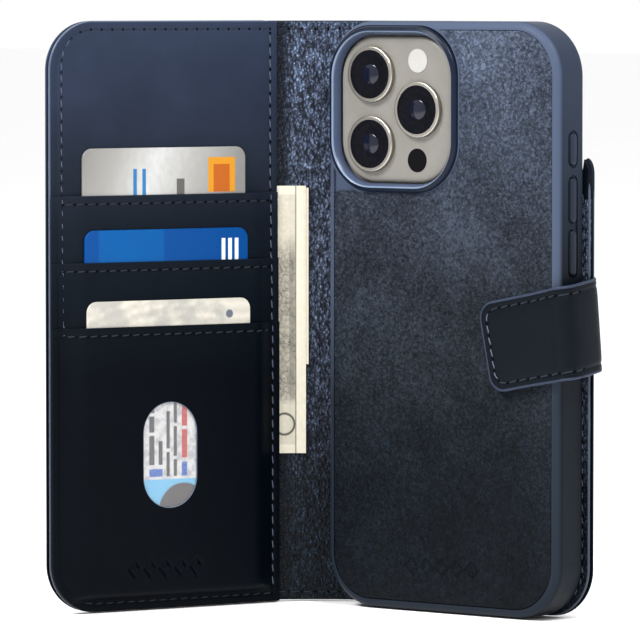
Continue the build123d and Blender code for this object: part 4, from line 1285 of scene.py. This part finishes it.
lower_pocket = bpy.data.objects["card_pocket_lower_skin"]
boolean_cut(lower_pocket, window_prism("window_cutter", 0.0, 5.0, 9.0, None))


def swept_ring(name, leaf, centre, outline, profile, mat):
    """A rim: a closed profile of (outwards, up) points swept round an outline on a cover."""
    count, sides = len(outline), len(profile)
    t = np.roll(outline, -1, 0) - np.roll(outline, 1, 0)
    t /= np.linalg.norm(t, axis=1)[:, None]
    normal = np.stack([t[:, 1], -t[:, 0]], -1)
    rows = []
    for outwards, up in profile:
        p = outline + normal * outwards
        rows.append(leaf.at(centre[0] + p[:, 0], centre[1] + p[:, 1], up))
    faces = []
    for i in range(count):
        for j in range(sides):
            a, b = i * sides + j, i * sides + (j + 1) % sides
            k = (i + 1) % count
            c, d = k * sides + (j + 1) % sides, k * sides + j
            faces.append((a, b, c, d))
    return new_object(name, np.stack(rows, 1).reshape(-1, 3), faces, mat)


RIM_R = 0.13
rim_profile = [(RIM_R * math.cos(a) - 0.05, PAD_TOPS[2] - 0.12 + RIM_R * math.sin(a))
               for a in np.linspace(0, 2 * math.pi, 11)[:-1]]
window_edge = pill(WINDOW_W, WINDOW_H, 28)
# The window rim's pale tone is a painted highlight along the window's edge.
window_rim = swept_ring("window_rim", FRONT, (WINDOW_X, WINDOW_Z), window_edge, rim_profile, WINDOW_PAINTED_SHEEN)
ride_as(window_rim, "front_cover", "window_rim", "id_window_rim")


def film_material():
    mat, tree, bsdf = shader("clear_film")
    surface(tree, bsdf, (0.95, 0.97, 1.0), 0.08, 0.12)
    bsdf.inputs["Alpha"].default_value = 0.05
    bump(tree, bsdf, noise(tree, coords(tree), 0.25, 3), 0.4, 0.0004)
    return mat


film = window_prism("id_window_film_sheet", 0.1, PAD_TOPS[2] - 0.36, PAD_TOPS[2] - 0.28, film_material())
ride_as(film, "front_cover", "film", "id_window_film")


# ------------------------------------------------------------------ finishes of the CAD nodes that show
FINISHES = {
    "bumper_frame": RUBBER, "phone_frame": TITANIUM, "phone_display": BLACK_GLASS,
    "phone_back_glass": FROSTED, "phone_flash": DIFFUSER, "phone_depth_sensor": BLACK_GLASS,
    "tray_magnet_ring": STEEL, "tray_alignment_magnet": STEEL, "back_steel_plate": STEEL,
    "front_closure_magnets": STEEL, "strap_magnet": STEEL, "strap_root_tab": LEATHER,
    "lens_ring_1": TITANIUM, "lens_ring_2": TITANIUM, "lens_ring_3": TITANIUM,
}
for name, mat in FINISHES.items():
    obj = frame["nodes"][name]
    obj.data.materials.clear()
    obj.data.materials.append(mat)
    obj.data.shade_smooth()
    obj.data.set_sharp_from_angle(angle=math.radians(32))


# ------------------------------------------------------------------ tray face
def box_distance(u, z, u_low, u_high, z_low, z_high, radius):
    """Distance outside a rounded rectangle."""
    qu = np.abs(u - (u_low + u_high) / 2) - (u_high - u_low) / 2 + radius
    qz = np.abs(z - (z_low + z_high) / 2) - (z_high - z_low) / 2 + radius
    return np.hypot(np.maximum(qu, 0), np.maximum(qz, 0)) + np.minimum(np.maximum(qu, qz), 0) - radius


def node_box(name):
    """A node's box in the back cover's own frame: u, z and w, low and high."""
    low, high = (np.array(corner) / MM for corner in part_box(name))
    return (low[0] - BACK.origin[0], high[0] - BACK.origin[0], low[2], high[2],
            BACK.origin[1] - high[1], BACK.origin[1] - low[1])


rim_box, inlay_box = node_box("camera_rim"), node_box("leather_inlay")
INLAY_R, NOTCH_GAP, NOTCH_ROUND = 13.0, 0.2, 14.4
MARK_ROWS, MARK_COLS = np.arange(8.4, 16.8, 0.3), np.arange(28.0, 60.0, 0.3)
notch = (rim_box[0] - 12.0, rim_box[1] + NOTCH_GAP, rim_box[2] - NOTCH_GAP, rim_box[3] + NOTCH_GAP)
inlay_outline = Outline(*inlay_box[:4], left=(INLAY_R, INLAY_R), right=(INLAY_R, INLAY_R))


def inlay_sheet(name, u, z, *nodes):
    """A piece of the tray's leather, rounded at its border and the camera notch, with the pressed mark."""
    edge = np.minimum(inlay_outline.inside(u, z), np.maximum(box_distance(u, z, *notch, NOTCH_ROUND), 0))
    top = inlay_box[5] + 0.15 - rounding(edge, 0.5) + 0.10 * smoothstep(edge, 0.4, 3.0)
    top = top + 0.04 * ripple(u, z, 28, 5) + pressed_mark(u, z, 44.0, 12.6, 4.9, 0.42)
    made = closed_sheet(name, BACK.at(u, z, top), BACK.at(u, z, inlay_box[4]), INLAY)
    ride_as(made, "tray", "grained_leather", *nodes)


below = Outline(*inlay_box[:3], notch[2], left=(INLAY_R, 2.2), right=(INLAY_R, 0))
inlay_sheet("inlay_lower", *below.grid(MARK_ROWS, MARK_COLS, gap=1.2), "leather_inlay")

rows = corner_rows(notch[2] + 0.001, inlay_box[3], 0, INLAY_R, np.linspace(notch[2] + 0.2, notch[2] + 14, 24))
left_side = notch[1] - inset_of(rows, notch[2], notch[3], NOTCH_ROUND, NOTCH_ROUND)
right_side = inlay_box[1] - inset_of(rows, 0, inlay_box[3], 0, INLAY_R)
t = steps(34.0, gap=1.2) / 34.0
u = left_side[:, None] + (right_side - left_side)[:, None] * t[None]
inlay_sheet("inlay_upper", u, np.repeat(rows[:, None], len(t), 1))


def rounded_rect(width, height, radius, n=14):
    """Outline of a rounded rectangle about its centre."""
    pts = []
    for quarter, (side_u, side_z) in enumerate(((1, 1), (-1, 1), (-1, -1), (1, -1))):
        for turn in np.linspace(0, math.pi / 2, n) + quarter * math.pi / 2:
            pts.append((side_u * (width / 2 - radius) + radius * math.cos(turn),
                        side_z * (height / 2 - radius) + radius * math.sin(turn)))
    return np.array(pts)


plateau = node_box("phone_camera_plateau")
plateau_centre = ((plateau[0] + plateau[1]) / 2, (plateau[2] + plateau[3]) / 2)
PLATEAU_W, PLATEAU_H, PLATEAU_R = plateau[1] - plateau[0], plateau[3] - plateau[2], 12.0
# its softly rounded edge: (inwards, down) points
PLATEAU_EDGE = ((0.0, -9), (0.0, -1.30), (0.10, -0.85), (0.34, -0.46), (0.75, -0.18), (1.30, -0.04),
                (2.00, 0.0), (5.0, 0.0))
rings = []
for shrink, drop in PLATEAU_EDGE:
    outline = rounded_rect(PLATEAU_W - 2 * shrink, PLATEAU_H - 2 * shrink, PLATEAU_R - shrink)
    u, z = (outline + np.array(plateau_centre)).T
    rings.append(BACK.at(u, z, max(plateau[5] + drop, plateau[4])))
ride_as(solid_of("camera_plateau_body", rings, FROSTED), "tray", "back_glass", "phone_camera_plateau")

RIM_PROFILE = ((0.30, 12.7), (0.40, 13.5), (0.75, 14.6), (1.10, 15.30), (1.28, 15.55), (1.50, 15.72),
               (1.78, 15.70), (1.92, 15.55), (2.10, 15.52), (2.35, 15.45), (2.62, 15.20), (2.82, 14.75),
               (2.92, 14.10), (2.92, 12.9))
LIT_WALL_SIDES, HIGHLIGHT_SIDES = 3, 5      # the profile's first sides are the inner wall in a painted lit tone, then comes a painted highlight line
rim_ring = swept_ring("camera_rim_ring", BACK, plateau_centre, rounded_rect(PLATEAU_W, PLATEAU_H, PLATEAU_R),
                      RIM_PROFILE, RIM)
rim_ring.data.materials.append(RIM_WALL_PAINTED_LIT)
rim_ring.data.materials.append(RIM_PAINTED_HIGHLIGHT)
side = np.arange(len(rim_ring.data.polygons)) % len(RIM_PROFILE)
kinds = np.where(side < LIT_WALL_SIDES, 1, np.where(side < HIGHLIGHT_SIDES, 2, 0)).astype(np.int32)
rim_ring.data.polygons.foreach_set("material_index", kinds)
ride_as(rim_ring, "tray", "rim", "camera_rim")


def domed_key(node_name, body, mat):
    """A side key with a softly domed face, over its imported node."""
    u0, u1, z0, z1, w0, w1 = node_box(node_name)
    outward = 1 if u1 > 60 else -1
    face = u1 if outward > 0 else u0
    r, half = (w1 - w0) / 2, (z1 - z0) / 2
    dome = ((0.0, -1.6), (0.0, -0.35), (0.08, -0.12), (0.28, 0.02), (0.6, 0.10), (1.0, 0.14),
            (r - 0.02, 0.16))
    rings = []
    for shrink, height in dome:
        outline = pill(2 * (r - shrink), 2 * (half - shrink), 14)
        depth, up = (w0 + w1) / 2 + outline[:, 0], (z0 + z1) / 2 + outline[:, 1]
        rings.append(BACK.at(face + outward * height, up, depth))
    verts = np.stack(rings)
    count = verts.shape[1]
    faces = quads(len(rings), count, wrap=True, flip=outward > 0)
    cap = tuple(range((len(rings) - 1) * count, len(rings) * count))
    faces.append(cap if outward < 0 else cap[::-1])
    ride_as(new_object(f"{node_name}_cap", verts, faces, mat), body, "key", node_name)


KEY = plastic("key_elastomer", None, 0.36, 0.10, colour_with_painted_light=KEY_COLOUR_PAINTED_LIGHT)
for node_name, body in (("action_button", "action_key"), ("volume_up_button", "volume_up_key"),
                        ("volume_down_button", "volume_down_key"), ("side_button", "side_key")):
    domed_key(node_name, body, KEY)


# ------------------------------------------------------------------ lenses
def lathe(name, profile, centre, mat, segments=72):
    """A turned piece on the tray's face: profile of (radius, height above the cover)."""
    a = np.linspace(0, 2 * math.pi, segments, endpoint=False)
    u, z = np.cos(a), np.sin(a)
    rings = [BACK.at(centre[0] + radius * u, centre[1] + radius * z, w) for radius, w in profile]
    return solid_of(name, rings, mat)


def lens_material():
    mat, tree, bsdf = shader("lens_barrel")
    v = coords(tree)
    tone = mix(tree, noise(tree, v, 0.8, 2), (0.002, 0.002, 0.003), (0.007, 0.007, 0.010))
    surface(tree, bsdf, tone, 0.22, 0.012)
    bump(tree, bsdf, noise(tree, v, 8.0, 2), 0.1, 0.00001)
    return mat


def iris_material():
    mat, tree, bsdf = shader("lens_coating_painted_reflection")
    # Painted reflection: a faint blue-to-purple tint by facing angle stands in for the coating's reflection.
    facing = node(tree, "ShaderNodeLayerWeight", Blend=0.4).outputs["Facing"]
    tone = ramp(tree, facing, ((0.0, (0.002, 0.003, 0.010)), (0.5, (0.006, 0.007, 0.016)),
                               (1.0, (0.012, 0.008, 0.016))))
    surface(tree, bsdf, tone, 0.1, 0.35)
    bump(tree, bsdf, noise(tree, coords(tree), 3.0, 2), 0.05, 0.00001)
    return mat


BARREL, IRIS = lens_material(), iris_material()
LENS_FRONT = 14.5
ELEMENT_R, ELEMENT_LOW, ELEMENT_RISE = 2.9, 14.05, 0.45
for number in (1, 2, 3):
    glass = node_box(f"lens_glass_{number}")
    centre = ((glass[0] + glass[1]) / 2, (glass[2] + glass[3]) / 2)
    rim_r = (glass[1] - glass[0]) / 2 - 0.02
    profile = ((rim_r, 13.75), (rim_r, LENS_FRONT), (rim_r - 0.15, LENS_FRONT + 0.05),
               (5.0, LENS_FRONT + 0.05), (4.6, 14.42), (4.2, 14.38), (3.6, 14.20), (3.0, 14.14))
    barrel = lathe(f"lens_barrel_{number}", profile, centre, BARREL)
    ride_as(barrel, "tray", "lens", f"lens_glass_{number}")
    turns = np.radians(np.linspace(0, 84, 12))
    dome = [(ELEMENT_R * math.cos(t), ELEMENT_LOW + ELEMENT_RISE * math.sin(t)) for t in turns]
    ride_as(lathe(f"lens_element_{number}", dome, centre, IRIS), "tray", "lens")


# ------------------------------------------------------------------ floor, light, camera
def stage_floor():
    mat, tree, bsdf = shader("studio_floor")
    tone = mix(tree, noise(tree, coords(tree), 0.002, 2), (0.97, 0.97, 0.97), (0.95, 0.95, 0.95))
    surface(tree, bsdf, tone, 0.7, 0.2)
    half, level = 12.0, -0.0004
    corners = [(x * half, y * half, level) for x, y in ((-1, -1), (1, -1), (1, 1), (-1, 1))]
    new_object("studio_floor", corners, [(0, 1, 2, 3)], mat, smooth=False)


def area_light(name, place, target, size, power):
    light = bpy.data.lights.new(name, "AREA")
    light.shape = "RECTANGLE"
    light.size, light.size_y = size
    light.energy = power
    obj = bpy.data.objects.new(name, light)
    bpy.context.scene.collection.objects.link(obj)
    obj.location = place
    obj.rotation_euler = (Vector(target) - Vector(place)).to_track_quat("-Z", "Y").to_euler()


stage_floor()
world = bpy.data.worlds.new("studio")
world.use_nodes = True
world.node_tree.nodes["Background"].inputs["Color"].default_value = (1.0, 1.0, 1.0, 1)
world.node_tree.nodes["Background"].inputs["Strength"].default_value = 1.0
bpy.context.scene.world = world
bpy.context.scene.view_settings.view_transform = "Standard"

area_light("key_light", (-0.35, -1.0, 1.15), (0, 0, 0.12), (0.5, 0.5), 30)
area_light("top_light", (0.75, -0.25, 1.1), (0, 0, 0.12), (0.5, 0.5), 16)

VIEW_AZIMUTH, VIEW_ELEVATION, VIEW_DISTANCE = 38.5, 3.16, 1.706
AIM = np.array((-0.00017, -0.00014, 0.0844))
FOCAL_PIXELS, IMAGE_PIXELS, SENSOR = 6014.0, 640.0, 36.0
az, el = math.radians(VIEW_AZIMUTH), math.radians(VIEW_ELEVATION)
towards = np.array((math.sin(az) * math.cos(el), -math.cos(az) * math.cos(el), math.sin(el)))
camera_data = bpy.data.cameras.new("camera")
camera_data.sensor_width = SENSOR
camera_data.lens = FOCAL_PIXELS * SENSOR / IMAGE_PIXELS
camera_data.clip_end = 60
camera = bpy.data.objects.new("camera", camera_data)
bpy.context.scene.collection.objects.link(camera)
camera.location = AIM + towards * VIEW_DISTANCE
camera.rotation_euler = Vector(-towards).to_track_quat("-Z", "Y").to_euler()
bpy.context.scene.camera = camera
